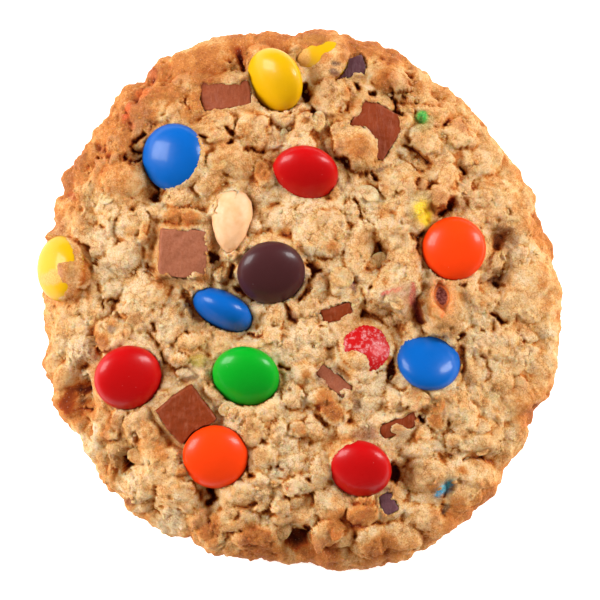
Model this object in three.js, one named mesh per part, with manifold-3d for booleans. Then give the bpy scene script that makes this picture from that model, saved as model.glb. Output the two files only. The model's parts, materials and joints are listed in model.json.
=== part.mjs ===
// A monster cookie: one thick, uneven oat and peanut butter cookie, about 107 mm across, with
// candy-coated chocolate buttons, milk chocolate chunks and half a peanut sunk into its top.
// Millimetres, +Z up. The cookie lies on its flat underside, with the origin below its middle.
// Angles are in degrees, anticlockwise from +X as seen from above.
import * as THREE from "three";
import { mergeVertices } from "three/addons/utils/BufferGeometryUtils.js";
import Module from "manifold-3d";

const wasm = await Module();
wasm.setup();

// ---- Driving dimensions of the dough

// Radius of the outline every 15 degrees from +X.
const RIM_RADII = [
  51.1, 49.6, 50.0, 50.0, 51.9, 53.1, 52.0, 52.9, 53.1, 52.7, 52.0, 50.4,
  49.7, 50.7, 52.0, 52.0, 52.6, 51.9, 51.9, 54.7, 54.8, 54.0, 52.1, 51.6,
];
const MEAN_RADIUS = 51.5;
const DOME_HEIGHT = 12.6; // dough at the middle, before its lumps
const WIDEST_HEIGHT = 3; // where the side wall stands furthest out
const BASE_INSET = 1.8; // the flat underside ends this far inside the widest line
const DOME_POWER = 3.2; // how flat the top stays before the shoulder
const SHOULDER_POWER = 1.9; // how round the shoulder is
const SWELL = 0.55; // slow waves of the whole top
const MESH_STEP = 2.2; // distance between the rings of vertices
const EVEN_RINGS_TO = 0.93; // share of the radius where rings stop getting more vertices
const RING_GROWTH = 6; // vertices that each ring has more than the one inside it
const TOP_STEPS = 400; // fine steps along the side view of the top
const WALL_STEPS = 40; // and of the wall below its widest line
const LEAST_HEIGHT = 0.5; // of the wall's vertices over the underside
const LUMP_LEVEL = 0.6; // how far typical lumps stand over the plain dome

// Scattered lumps of dough, over the top and down the side wall.
const LUMP_SEED = 7;
const LUMP_SPACING = 4.9;
const LUMP_RADIUS = [3.0, 4.7];
const LUMP_HEIGHT = [0.6, 2.6];
const LUMP_TRIES = 9000;

// Larger lumps that stand out: [x, y, radius, height].
const BIG_LUMPS = [
  [28.2, 0.2, 7.2, 3.4],
  [22.5, 19.5, 6.8, 2.6],
  [11.0, 30.5, 6.2, 2.8],
  [16.5, 1.5, 7.0, 2.4],
  [10.0, -40.0, 6.5, 2.2],
  [3.0, -43.5, 5.5, 1.8],
  [-4.0, 8.0, 7.0, 1.6],
  [-8.5, 17.0, 6.5, 1.5],
  [-35.5, -6.5, 6.0, 1.6],
  [24.0, -15.5, 5.5, 1.9],
  [30.0, -36.5, 7.0, 1.6],
  [-2.5, -22.5, 6.0, 1.7],
  [4.5, -19.0, 5.0, 2.0],
  [26.5, 31.0, 6.5, 1.5],
  [-20.5, -32.0, 7.0, 1.5],
  [40.0, -22.0, 7.5, 1.2],
];

// Crevices and holes: [x, y, length, width, direction, depth]. Their lips slope in over the shoulder.
const CREVICE_SHOULDER = 1.4;
const CREVICES = [
  [-0.4, -48.2, 5.5, 3.4, 10, 6.0],
  [-34.6, -32.4, 4.2, 3.0, 30, 5.0],
  [-43.8, -17.5, 9.5, 2.8, 95, 4.5],
  [23.9, -1.5, 6.5, 2.6, 80, 4.5],
  [15.4, 9.5, 7.5, 2.4, 80, 3.5],
  [24.3, 28.6, 6.5, 2.2, -40, 3.0],
  [27.8, 16.6, 9.0, 2.4, 50, 3.5],
  [40.2, 12.0, 6.0, 3.4, 70, 3.0],
  [39.2, 3.6, 6.0, 2.8, 30, 2.8],
  [18.6, 36.8, 4.0, 2.6, 10, 3.6],
  [19.6, -33.2, 4.5, 3.2, 60, 4.0],
  [35.4, -31.6, 8.0, 2.2, -5, 2.8],
  [-18.4, -38.8, 4.5, 2.4, 80, 3.6],
  [-28.4, 21.6, 5.0, 3.0, 60, 4.0],
  [47.0, -22.3, 5.0, 2.2, 55, 2.5],
  [-45.0, 9.5, 4.5, 2.2, 60, 2.2],
  [9.0, -28.6, 6.0, 2.2, 20, 2.5],
  [-10.4, -6.4, 5.0, 2.4, 30, 3.0],
];

// ---- Driving dimensions of what lies in the dough

const GAP = 0.3; // clear space between touching pieces
const BUTTON_THICKNESS = 0.52; // of its diameter
const BUTTON_SIDES = 16;
const BUTTON_RINGS = 7;
const WELL_HEIGHT = 20; // the open space over a button reaches past the top of the dough

const SHELL = {
  yellow: 0xf2c20c,
  blue: 0x0b6fd0,
  red: 0xc40d16,
  orange: 0xf4510b,
  brown: 0x3d2223,
  green: 0x17a01f,
};
const CHOCOLATE = 0x7a4029;
const DARK_CHOCOLATE = 0x4c2a35;
const DOUGH = 0xcf9c5c;
const NUT = 0xe9c58d;

// A button leans by tilt towards the direction lean, and its middle stands rise above the dough.
// Dough laps over it from the direction lapFrom by about lap. Where slit is given, dough covers
// the whole button but for an eye-shaped slit of that width, length and direction.
const BUTTONS = [
  { name: "yellow_top", colour: "yellow", x: -5.0, y: 43.7, diameter: 13.6, tilt: 48, lean: 208, rise: 0 },
  { name: "blue_upper", colour: "blue", x: -25.0, y: 28.3, diameter: 13.8, tilt: 24, lean: 185, rise: -0.2, lapFrom: -35, lap: 1.2 },
  { name: "red_upper", colour: "red", x: 1.0, y: 25.1, diameter: 13.5, tilt: 44, lean: 262, rise: -0.4, lapFrom: 215, lap: 0.8 },
  { name: "orange_right", colour: "orange", x: 30.5, y: 10.2, diameter: 13.0, tilt: 12, lean: 230, rise: 0.2 },
  { name: "brown_middle", colour: "brown", x: -5.7, y: 5.4, diameter: 13.8, tilt: 30, lean: 280, rise: 0.6 },
  { name: "blue_middle", colour: "blue", x: -15.3, y: -2.0, diameter: 13.2, tilt: 76, lean: 243, rise: -3.6 },
  { name: "red_left", colour: "red", x: -34.1, y: -15.4, diameter: 13.9, tilt: 28, lean: 300, rise: 0.1 },
  { name: "green", colour: "green", x: -10.7, y: -15.1, diameter: 13.8, tilt: 36, lean: 255, rise: -0.1 },
  { name: "orange_lower", colour: "orange", x: -16.8, y: -31.1, diameter: 13.4, tilt: 18, lean: 280, rise: -0.3 },
  { name: "red_lower", colour: "red", x: 11.9, y: -33.4, diameter: 13.0, tilt: 34, lean: 250, rise: -0.3, lapFrom: 140, lap: 0.8 },
  { name: "blue_right", colour: "blue", x: 25.5, y: -12.2, diameter: 13.0, tilt: 34, lean: 70, rise: -0.6, lapFrom: 95, lap: 1.0 },
  { name: "yellow_edge", colour: "yellow", x: -47.7, y: 6.3, diameter: 13.4, tilt: 52, lean: 178, rise: 0.4, lapFrom: 350, lap: 1.6 },
  { name: "yellow_sunk", colour: "yellow", x: 4.4, y: 48.0, diameter: 11.6, tilt: 36, lean: 130, rise: -1.4, lapFrom: 320, lap: 3.2 },
  { name: "red_broken", colour: "red", x: 13.2, y: -8.9, diameter: 12.0, tilt: 30, lean: 50, rise: -1.4, lapFrom: 215, lap: 3.4 },
  { name: "orange_covered", colour: "orange", x: 28.0, y: -0.8, diameter: 9.8, tilt: 14, lean: 70, rise: -2.1, slit: { x: 28.1, y: 0.9, width: 2.6, length: 5.0, turn: 100 } },
];

// A chunk is a rough block, turned by turn and tipped by tip towards the direction towards.
const CHUNKS = [
  { name: "left", x: -23.4, y: 9.5, size: [10.2, 10.2, 8.0], turn: -3, tip: 6, towards: 315, rise: -2.6 },
  { name: "lower_left", x: -22.5, y: -22.3, size: [9.6, 9.6, 7.5], turn: 36, tip: 8, towards: 270, rise: -1.9 },
  { name: "upper_left", x: -14.6, y: 40.2, size: [11.0, 7.2, 7.0], turn: 8, tip: 18, towards: 105, rise: -2.8, lapFrom: 275, lap: 2.4 },
  { name: "upper_right", x: 14.6, y: 33.8, size: [10.4, 10.4, 7.0], turn: -32, tip: 6, towards: 30, rise: -2.7, lapFrom: 235, lap: 3.6 },
  { name: "middle", x: 7.2, y: -2.2, size: [6.6, 3.6, 4.0], turn: 12, tip: 14, towards: 270, rise: -1.2 },
  { name: "lower_middle", x: 6.6, y: -16.2, size: [8.4, 3.0, 3.6], turn: -38, tip: 10, towards: 60, rise: -1.0 },
  { name: "lower_right", x: 19.6, y: -24.4, size: [8.6, 3.6, 4.4], turn: 24, tip: 12, towards: 300, rise: -1.4 },
];
const DARK_CHUNKS = [
  { name: "top", x: 9.6, y: 45.9, size: [7.2, 4.6, 4.4], turn: 12, tip: 8, towards: 90, rise: -1.5 },
  { name: "low", x: 17.7, y: -40.6, size: [3.2, 4.2, 3.0], turn: 20, tip: 10, towards: 120, rise: -0.9 },
];
const CHUNK_SEED = 21;
const CHUNK_JITTER = 0.28;
const CHUNK_CORNER = 0.1; // share by which corners are drawn in
const CHUNK_OPENING = 0.6; // share of its height that the open space over a chunk is raised by

// The nut's crown is the share of its thickness over its widest line.
const PEANUT = {
  x: -13.6, y: 15.8, length: 13.4, width: 8.4, thickness: 4.6, crown: 0.7, taper: 0.24,
  turn: 84, tip: 10, towards: 10, rise: -0.9, sides: 14, rings: 6,
};

// ---- Small helpers

const radians = THREE.MathUtils.degToRad;
const mix = THREE.MathUtils.lerp;

// A repeatable stream of numbers from 0 to 1.
function randomStream(seed) {
  let state = seed >>> 0;
  return () => {
    state = (state + 0x6d2b79f5) >>> 0;
    let t = Math.imul(state ^ (state >>> 15), state | 1);
    t ^= t + Math.imul(t ^ (t >>> 7), t | 61);
    return ((t ^ (t >>> 14)) >>> 0) / 4294967296;
  };
}

function solidOf(geometry, matrix) {
  const bare = geometry.clone();
  bare.deleteAttribute("normal");
  bare.deleteAttribute("uv");
  if (matrix) bare.applyMatrix4(matrix);
  const merged = mergeVertices(bare, 1e-4);
  return new wasm.Manifold(
    new wasm.Mesh({
      numProp: 3,
      vertProperties: new Float32Array(merged.attributes.position.array),
      triVerts: new Uint32Array(merged.index.array),
    }),
  );
}

function geometryOf(solid) {
  const mesh = solid.getMesh();
  const geometry = new THREE.BufferGeometry();
  geometry.setAttribute("position", new THREE.BufferAttribute(mesh.vertProperties, 3));
  geometry.setIndex(new THREE.BufferAttribute(mesh.triVerts, 1));
  geometry.computeVertexNormals();
  return geometry;
}

// The largest body of a solid, without the scraps that a cut leaves loose.
function largestBody(solid) {
  return solid.decompose().sort((a, b) => b.volume() - a.volume())[0];
}

// ---- The dough's own shape

function rimRadius(angle) {
  const count = RIM_RADII.length;
  const place = (((angle / (2 * Math.PI)) % 1) + 1) * count;
  const i = Math.floor(place);
  const t = place - i;
  const [a, b, c, d] = [-1, 0, 1, 2].map((k) => RIM_RADII[(i + k + count) % count]);
  return b + 0.5 * t * (c - a + t * (2 * a - 5 * b + 4 * c - d + t * (3 * (b - c) + d - a)));
}

function domeHeight(share) {
  const fall = 1 - Math.min(share, 1) ** DOME_POWER;
  return WIDEST_HEIGHT + (DOME_HEIGHT - WIDEST_HEIGHT) * fall ** (1 / SHOULDER_POWER);
}

// Points of the side view from the middle of the top to the edge of the underside, on a round
// cookie of the mean radius: [radius, height].
function meridian() {
  const points = [];
  for (let i = 0; i <= TOP_STEPS; i++) {
    const share = Math.sin((i / TOP_STEPS) * (Math.PI / 2));
    points.push([share * MEAN_RADIUS, domeHeight(share)]);
  }
  for (let i = 1; i <= WALL_STEPS; i++) {
    const turn = (i / WALL_STEPS) * (Math.PI / 2);
    points.push([
      MEAN_RADIUS - BASE_INSET * (1 - Math.cos(turn)),
      WIDEST_HEIGHT * (1 - Math.sin(turn)),
    ]);
  }
  return points;
}

// Stations a mesh step apart along the meridian: share of the radius, height, outward normal and
// the distance run from the middle of the top.
function stations() {
  const points = meridian();
  const run = [0];
  for (let i = 1; i < points.length; i++) {
    run.push(run[i - 1] + Math.hypot(points[i][0] - points[i - 1][0], points[i][1] - points[i - 1][1]));
  }
  const total = run.at(-1);
  const count = Math.round(total / MESH_STEP);
  return Array.from({ length: count + 1 }, (_, k) => {
    const wanted = (total * k) / count;
    const i = Math.max(1, run.findIndex((r) => r >= wanted - 1e-9));
    const t = (wanted - run[i - 1]) / (run[i] - run[i - 1]);
    const [across, down] = [points[i][0] - points[i - 1][0], points[i][1] - points[i - 1][1]];
    const length = Math.hypot(across, down);
    return {
      share: mix(points[i - 1][0], points[i][0], t) / MEAN_RADIUS,
      height: mix(points[i - 1][1], points[i][1], t),
      outward: -down / length,
      upward: across / length,
      run: wanted,
    };
  });
}

// Lumps lie on the top and wall rolled out flat, so a place there is the run and the angle.
function scatteredLumps(reach) {
  const random = randomStream(LUMP_SEED);
  const lumps = BIG_LUMPS.map(([x, y, radius, height]) => ({ x, y, radius, height }));
  for (let i = 0; i < LUMP_TRIES; i++) {
    const run = reach * Math.sqrt(random());
    const angle = 2 * Math.PI * random();
    const [x, y] = [run * Math.cos(angle), run * Math.sin(angle)];
    const room = LUMP_SPACING * mix(0.8, 1.15, random());
    if (lumps.some((l) => Math.hypot(l.x - x, l.y - y) < room)) continue;
    const radius = mix(...LUMP_RADIUS, random());
    lumps.push({ x, y, radius, height: mix(...LUMP_HEIGHT, random() ** 1.3) });
  }
  return lumps;
}

const STATIONS = stations();
const LUMPS = scatteredLumps(STATIONS.at(-1).run);

// How far the dough stands out of the plain dome at a place on its rolled out skin.
function relief(x, y) {
  let lift = 0;
  for (const lump of LUMPS) {
    const near = 1 - ((lump.x - x) ** 2 + (lump.y - y) ** 2) / lump.radius ** 2;
    if (near > 0) lift = Math.max(lift, lump.height * Math.sqrt(near));
  }
  lift += SWELL * (Math.sin(x / 7.5 + 1.3) * Math.cos(y / 9 - 0.4) + Math.sin(x / 15 - y / 12));
  for (const [cx, cy, length, width, direction, depth] of CREVICES) {
    const [c, s] = [Math.cos(radians(direction)), Math.sin(radians(direction))];
    const along = ((x - cx) * c + (y - cy) * s) / (length / 2 + CREVICE_SHOULDER);
    const across = ((y - cy) * c - (x - cx) * s) / (width / 2 + CREVICE_SHOULDER);
    const near = 1 - along ** 2 - across ** 2;
    if (near > 0) lift = mix(lift, -depth, near);
  }
  return lift;
}

// The dough's height over a point of the plan, where a topping is set.
function doughHeight(x, y) {
  const radius = Math.hypot(x, y);
  const share = radius / rimRadius(Math.atan2(y, x));
  return domeHeight(share) + SWELL + LUMP_LEVEL;
}

// Joins two rings of vertices, each given by the index of its first vertex and its count.
function joinRings(inner, outer, triangles) {
  let [i, j] = [0, 0];
  while (i < inner.count || j < outer.count) {
    const nextInner = (i + 1) / inner.count;
    const nextOuter = (j + 1) / outer.count;
    const a = inner.first + (i % inner.count);
    const b = outer.first + (j % outer.count);
    if (j < outer.count && (nextOuter <= nextInner || i === inner.count)) {
      triangles.push(a, b, outer.first + ((j + 1) % outer.count));
      j += 1;
    } else {
      triangles.push(a, b, inner.first + ((i + 1) % inner.count));
      i += 1;
    }
  }
}

function doughBlank() {
  const positions = [];
  const triangles = [];
  const rings = [];
  const evenRing = STATIONS.findIndex((s) => s.share >= EVEN_RINGS_TO);
  STATIONS.forEach((station, k) => {
    const count = k === 0 ? 1 : RING_GROWTH * Math.min(k, evenRing);
    rings.push({ first: positions.length / 3, count });
    for (let i = 0; i < count; i++) {
      const angle = (2 * Math.PI * i) / count;
      const [c, s] = [Math.cos(angle), Math.sin(angle)];
      const onBase = k === STATIONS.length - 1;
      const lift = onBase ? 0 : relief(station.run * c, station.run * s);
      const radius = station.share * rimRadius(angle) + lift * station.outward;
      const height = onBase ? 0 : Math.max(station.height + lift * station.upward, LEAST_HEIGHT);
      positions.push(radius * c, radius * s, height);
    }
  });
  for (let k = 1; k < rings.length; k++) {
    if (k === 1) {
      for (let i = 0; i < rings[1].count; i++) {
        triangles.push(0, rings[1].first + i, rings[1].first + ((i + 1) % rings[1].count));
      }
    } else {
      joinRings(rings[k - 1], rings[k], triangles);
    }
  }
  const base = rings.at(-1);
  const middle = positions.length / 3;
  positions.push(0, 0, 0);
  for (let i = 0; i < base.count; i++) {
    triangles.push(middle, base.first + ((i + 1) % base.count), base.first + i);
  }
  const geometry = new THREE.BufferGeometry();
  geometry.setAttribute("position", new THREE.Float32BufferAttribute(positions, 3));
  geometry.setIndex(triangles);
  return geometry;
}

// ---- Candy-coated buttons

function buttonGeometry(radius, halfThickness) {
  const geometry = new THREE.SphereGeometry(1, BUTTON_SIDES, BUTTON_RINGS);
  geometry.rotateX(Math.PI / 2);
  geometry.scale(radius, radius, halfThickness);
  return geometry;
}

// A turn that leans +Z by an angle towards a direction of the plan.
function leanTurn(angle, direction) {
  const axis = new THREE.Vector3(-Math.sin(radians(direction)), Math.cos(radians(direction)), 0);
  return new THREE.Quaternion().setFromAxisAngle(axis, radians(angle));
}

function buttonPlace(button) {
  const height = doughHeight(button.x, button.y) + button.rise;
  return new THREE.Matrix4().compose(
    new THREE.Vector3(button.x, button.y, height),
    leanTurn(button.tilt, button.lean),
    new THREE.Vector3(1, 1, 1),
  );
}

// The open space over a button: a column over its outline, from the tilted plane of that outline
// up. It stands off from the side where dough laps over the button.
function buttonWell(button, radius, halfThickness) {
  const [c, s] = [Math.cos(radians(button.tilt)), Math.sin(radians(button.tilt))];
  const along = Math.hypot(radius * c, halfThickness * s);
  const squeeze = 1 / halfThickness ** 2 - 1 / radius ** 2;
  const slope = (-squeeze * c * s) / (1 / radius ** 2 + squeeze * c * c);
  const column = new THREE.CylinderGeometry(1, 1, WELL_HEIGHT, BUTTON_SIDES);
  column.rotateX(Math.PI / 2);
  column.translate(0, 0, WELL_HEIGHT / 2);
  if (button.slit) {
    const { x, y, width, length, turn } = button.slit;
    column.scale(length / 2, width / 2, 1);
    column.rotateZ(radians(turn));
    column.translate(x, y, doughHeight(x, y) + button.rise);
    return column;
  }
  column.scale(along, radius, 1);
  const place = column.attributes.position;
  for (let i = 0; i < place.count; i++) {
    if (place.getZ(i) < WELL_HEIGHT / 2) place.setZ(i, slope * place.getX(i));
  }
  column.rotateZ(radians(button.lean));
  const away = radians((button.lapFrom ?? 0) + 180);
  const shift = button.lap ?? 0;
  const height = doughHeight(button.x, button.y) + button.rise;
  column.translate(button.x + shift * Math.cos(away), button.y + shift * Math.sin(away), height);
  return column;
}

function buttonSizes(button, extra) {
  const radius = button.diameter / 2;
  return [radius + extra, radius * BUTTON_THICKNESS + extra];
}

function buttonMesh(button) {
  const geometry = buttonGeometry(...buttonSizes(button, 0));
  const material = new THREE.MeshStandardMaterial({
    color: SHELL[button.colour],
    roughness: 0.25,
    metalness: 0,
  });
  const mesh = new THREE.Mesh(geometry, material);
  mesh.name = "button_" + button.name;
  buttonPlace(button).decompose(mesh.position, mesh.quaternion, mesh.scale);
  return mesh;
}

function buttonCutter(button) {
  const sizes = buttonSizes(button, GAP);
  const body = solidOf(buttonGeometry(...sizes), buttonPlace(button));
  return body.add(solidOf(buttonWell(button, ...sizes)));
}

// ---- Chocolate chunks

function chunkGeometry(chunk, extra, seed) {
  const random = randomStream(seed);
  const [w, d, h] = chunk.size;
  const geometry = mergeVertices(bareBox(), 1e-4);
  const place = geometry.attributes.position;
  for (let i = 0; i < place.count; i++) {
    const point = new THREE.Vector3().fromBufferAttribute(place, i);
    const edges = [point.x, point.y, point.z].filter((v) => Math.abs(v) > 0.4).length;
    point.multiplyScalar(1 - CHUNK_CORNER * (edges - 1) * 0.5);
    point.multiply(new THREE.Vector3(w + 2 * extra, d + 2 * extra, h + 2 * extra));
    const shake = () => CHUNK_JITTER * (2 * random() - 1);
    place.setXYZ(i, point.x + shake(), point.y + shake(), point.z + 0.5 * shake());
  }
  return geometry;
}

function bareBox() {
  const box = new THREE.BoxGeometry(1, 1, 1, 2, 2, 2);
  box.deleteAttribute("normal");
  box.deleteAttribute("uv");
  return box;
}

function chunkPlace(chunk, shift) {
  const turn = new THREE.Quaternion().setFromAxisAngle(new THREE.Vector3(0, 0, 1), radians(chunk.turn));
  const height = doughHeight(chunk.x, chunk.y) + chunk.rise;
  const away = radians((chunk.lapFrom ?? 0) + 180);
  return new THREE.Matrix4().compose(
    new THREE.Vector3(chunk.x + shift * Math.cos(away), chunk.y + shift * Math.sin(away), height),
    leanTurn(chunk.tip, chunk.towards).multiply(turn),
    new THREE.Vector3(1, 1, 1),
  );
}

// A chunk's socket, with the open space over it where no dough laps over its top.
function chunkCutter(chunk, seed) {
  const body = solidOf(chunkGeometry(chunk, GAP, seed), chunkPlace(chunk, 0));
  const open = chunkGeometry(chunk, GAP, seed);
  open.translate(0, 0, chunk.size[2] * CHUNK_OPENING);
  return body.add(solidOf(open, chunkPlace(chunk, chunk.lap ?? 0)));
}

// ---- Half a peanut, flat side down

function peanutGeometry(extra) {
  const { length, width, thickness, crown, taper } = PEANUT;
  const geometry = new THREE.SphereGeometry(1, PEANUT.sides, PEANUT.rings);
  geometry.rotateX(Math.PI / 2);
  const place = geometry.attributes.position;
  for (let i = 0; i < place.count; i++) {
    const [x, y, z] = [place.getX(i), place.getY(i), place.getZ(i)];
    const narrow = 1 + taper * x;
    place.setXYZ(
      i,
      x * (length / 2 + extra),
      y * narrow * (width / 2 + extra),
      z * (z > 0 ? crown : 1 - crown) * narrow * (thickness + extra),
    );
  }
  return geometry;
}

function peanutPlace() {
  const turn = new THREE.Quaternion().setFromAxisAngle(new THREE.Vector3(0, 0, 1), radians(PEANUT.turn));
  const height = doughHeight(PEANUT.x, PEANUT.y) + PEANUT.rise;
  return new THREE.Matrix4().compose(
    new THREE.Vector3(PEANUT.x, PEANUT.y, height),
    leanTurn(PEANUT.tip, PEANUT.towards).multiply(turn),
    new THREE.Vector3(1, 1, 1),
  );
}

function peanutCutter() {
  const open = peanutGeometry(GAP);
  open.translate(0, 0, PEANUT.thickness * PEANUT.crown);
  return solidOf(peanutGeometry(GAP), peanutPlace()).add(solidOf(open, peanutPlace()));
}

// ---- The cookie

function matte(colour, roughness) {
  return new THREE.MeshStandardMaterial({ color: colour, roughness, metalness: 0 });
}

function named(name, geometry, material) {
  const mesh = new THREE.Mesh(geometry, material);
  mesh.name = name;
  return mesh;
}

const buttonBodies = BUTTONS.map((b) => solidOf(buttonGeometry(...buttonSizes(b, GAP)), buttonPlace(b)));
const cookie = new THREE.Group();

for (const button of BUTTONS) cookie.add(buttonMesh(button));

const allChunks = [
  ...CHUNKS.map((chunk) => ({ ...chunk, node: "chunk_" + chunk.name, colour: CHOCOLATE })),
  ...DARK_CHUNKS.map((chunk) => ({ ...chunk, node: "dark_chunk_" + chunk.name, colour: DARK_CHOCOLATE })),
];
allChunks.forEach((chunk, i) => {
  let solid = solidOf(chunkGeometry(chunk, 0, CHUNK_SEED + i), chunkPlace(chunk, 0));
  for (const body of buttonBodies) solid = solid.subtract(body);
  cookie.add(named(chunk.node, geometryOf(largestBody(solid)), matte(chunk.colour, 0.45)));
});

let peanut = solidOf(peanutGeometry(0), peanutPlace());
for (const body of buttonBodies) peanut = peanut.subtract(body);
allChunks.forEach((chunk, i) => {
  peanut = peanut.subtract(solidOf(chunkGeometry(chunk, GAP, CHUNK_SEED + i), chunkPlace(chunk, 0)));
});
cookie.add(named("peanut_half", geometryOf(largestBody(peanut)), matte(NUT, 0.5)));

let dough = solidOf(doughBlank());
for (const button of BUTTONS) dough = dough.subtract(buttonCutter(button));
allChunks.forEach((chunk, i) => {
  dough = dough.subtract(chunkCutter(chunk, CHUNK_SEED + i));
});
dough = dough.subtract(peanutCutter());
cookie.add(named("dough", geometryOf(largestBody(dough)), matte(DOUGH, 0.85)));

// The middle of the cookie's box goes over the origin.
const box = new THREE.Box3().setFromObject(cookie, true);
const middle = box.getCenter(new THREE.Vector3());
cookie.position.set(-middle.x, -middle.y, 0);

export default cookie;
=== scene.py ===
import json
import math

import bmesh
import bpy
import numpy as np
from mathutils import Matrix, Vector
from mathutils.bvhtree import BVHTree


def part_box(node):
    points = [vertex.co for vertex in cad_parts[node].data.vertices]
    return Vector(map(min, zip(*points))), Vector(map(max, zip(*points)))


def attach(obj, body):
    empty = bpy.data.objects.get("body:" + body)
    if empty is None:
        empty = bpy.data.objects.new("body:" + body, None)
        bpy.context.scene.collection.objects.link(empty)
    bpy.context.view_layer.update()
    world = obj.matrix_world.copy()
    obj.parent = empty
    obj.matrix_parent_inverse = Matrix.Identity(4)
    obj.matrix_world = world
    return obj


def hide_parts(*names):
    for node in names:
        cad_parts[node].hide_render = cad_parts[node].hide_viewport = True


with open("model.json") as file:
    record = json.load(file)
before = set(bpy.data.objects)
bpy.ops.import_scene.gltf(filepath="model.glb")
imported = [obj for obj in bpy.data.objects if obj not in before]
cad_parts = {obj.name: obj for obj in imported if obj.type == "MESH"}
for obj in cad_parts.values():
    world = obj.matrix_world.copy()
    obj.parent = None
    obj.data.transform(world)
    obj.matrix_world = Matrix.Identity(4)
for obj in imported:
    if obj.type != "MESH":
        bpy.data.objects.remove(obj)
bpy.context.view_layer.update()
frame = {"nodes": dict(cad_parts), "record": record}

MM = 0.001


def middle_of(node):
    low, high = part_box(node)
    return np.array((low + high) / 2) / MM


# The middle of the brown button lies here in the photo, which ties its places to the frame.
BROWN_BUTTON_PLACE = (-5.7, 5.4)
SHIFT = middle_of("button_brown_middle")[:2] - np.array(BROWN_BUTTON_PLACE)


def spot(x, y):
    """A place of the photo in the frame's own millimetres."""
    return np.array([x, y]) + SHIFT


# ---- Noise

def lattice_random(cells, seed):
    """A repeatable number from 0 to 1 for each whole-number cell, given as an (n, 3) array."""
    c = cells.astype(np.int64).astype(np.uint64)
    h = c[:, 0] * np.uint64(0x9E3779B185EBCA87)
    h ^= c[:, 1] * np.uint64(0xC2B2AE3D27D4EB4F)
    h ^= c[:, 2] * np.uint64(0x165667B19E3779F9)
    h += np.uint64(seed) * np.uint64(0x27D4EB2F165667C5)
    for shift in (33, 29):
        h ^= h >> np.uint64(shift)
        h *= np.uint64(0xFF51AFD7ED558CCD)
    h ^= h >> np.uint64(32)
    return (h >> np.uint64(11)).astype(float) / 2.0**53


def smooth_noise(points, size, seed):
    """Noise from -1 to 1 whose features are about size across."""
    p = points / size
    cell = np.floor(p)
    t = p - cell
    t = t * t * t * (t * (6 * t - 15) + 10)
    total = 0
    for corner in np.ndindex(2, 2, 2):
        weight = np.prod(np.where(corner, t, 1 - t), axis=1)
        total = total + weight * lattice_random(cell + corner, seed)
    return 2 * total - 1


def layered_noise(points, size, seed, layers=4):
    """Noise of several layers, each half as large and half as strong as the one before."""
    total = sum(0.5**i * smooth_noise(points, size / 2**i, seed + i) for i in range(layers))
    return total / sum(0.5**i for i in range(layers))


def shifts(points, size, seeds, layers=1):
    """Noise in several directions at once, with a seed for each."""
    return np.stack([layered_noise(points, size, seed, layers) for seed in seeds], axis=1)


DOME_LEVELS = 0.35  # how far the domes of a pile differ in level, in sizes
DOME_FALL = 1.25
DOME_LEAN = 0.45


def piled_lumps(points, size, seed):
    """The height, in sizes, of a pile of rounded lumps with creases between them: in every cell of
    space one dome of its own level and lean, and the highest dome shows."""
    p = points / size
    home = np.floor(p)
    height = np.full(len(p), -9.0)
    for step in np.ndindex(3, 3, 3):
        cell = home + np.array(step) - 1
        at = cell + np.stack([lattice_random(cell, seed + k) for k in range(3)], axis=1)
        slope = np.stack([lattice_random(cell, seed + 3 + k) for k in range(3)], axis=1) - 0.5
        away = p - at
        dome = DOME_LEVELS * lattice_random(cell, seed + 6) + DOME_LEAN * (slope * away).sum(1)
        height = np.maximum(height, dome - DOME_FALL * (away**2).sum(1) ** 1.3)
    return height


def ease(low, high, x):
    """From 0 at low to 1 at high, with a soft start and end. Low may be the larger of the two."""
    t = np.clip((x - low) / (high - low), 0, 1)
    return t * t * (3 - 2 * t)


def along(u, v, turn):
    """How far places that lie u, v away are along a direction, in radians, and across it."""
    c, s = math.cos(turn), math.sin(turn)
    return u * c + v * s, v * c - u * s


def in_oval(places, x, y, length, width, turn):
    """Places seen from an oval's middle, as shares of its half length and half width."""
    u, v = along(places[:, 0] - x, places[:, 1] - y, math.radians(turn))
    return u / length, v / width


# ---- Meshes

def mesh_piece(name, points, faces, material):
    mesh = bpy.data.meshes.new(name)
    mesh.from_pydata(np.asarray(points) * MM, [], faces)
    mesh.materials.append(material)
    mesh.polygons.foreach_set("use_smooth", [True] * len(mesh.polygons))
    mesh.update()
    piece = bpy.data.objects.new(name, mesh)
    bpy.context.scene.collection.objects.link(piece)
    return piece


def paint(piece, name, values):
    """Keeps a number for each vertex, for the piece's material."""
    layer = piece.data.attributes.new(name, "FLOAT", "POINT")
    layer.data.foreach_set("value", np.asarray(values, dtype=np.float32))


def paint_colour(piece, name, colours):
    """Keeps a colour and its strength for each vertex."""
    layer = piece.data.attributes.new(name, "FLOAT_COLOR", "POINT")
    layer.data.foreach_set("color", np.asarray(colours, dtype=np.float32).ravel())


def node_mesh(node):
    """A CAD node's vertices in millimetres and its faces."""
    mesh = frame["nodes"][node].data
    points = np.zeros(len(mesh.vertices) * 3, np.float32)
    mesh.vertices.foreach_get("co", points)
    return points.reshape(-1, 3).astype(float) / MM, [list(p.vertices) for p in mesh.polygons]


def tree_of(node):
    points, faces = node_mesh(node)
    return BVHTree.FromPolygons([Vector(p) for p in points], faces)


def join_rings(inner, outer):
    """Triangles between two rings of vertices, each given as its first index and its count."""
    (a0, an), (b0, bn) = inner, outer
    if an == 1:
        return [(a0, b0 + j, b0 + (j + 1) % bn) for j in range(bn)]
    if bn == 1:
        return [(a0 + (i + 1) % an, a0 + i, b0) for i in range(an)]
    faces = []
    i = j = 0
    while i < an or j < bn:
        a, b = a0 + i % an, b0 + j % bn
        if j < bn and (i == an or (j + 1) * an <= (i + 1) * bn):
            faces.append((a, b, b0 + (j + 1) % bn))
            j += 1
        else:
            faces.append((a, b, a0 + (i + 1) % an))
            i += 1
    return faces


# ---- Toppings, as the dough meets them

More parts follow.
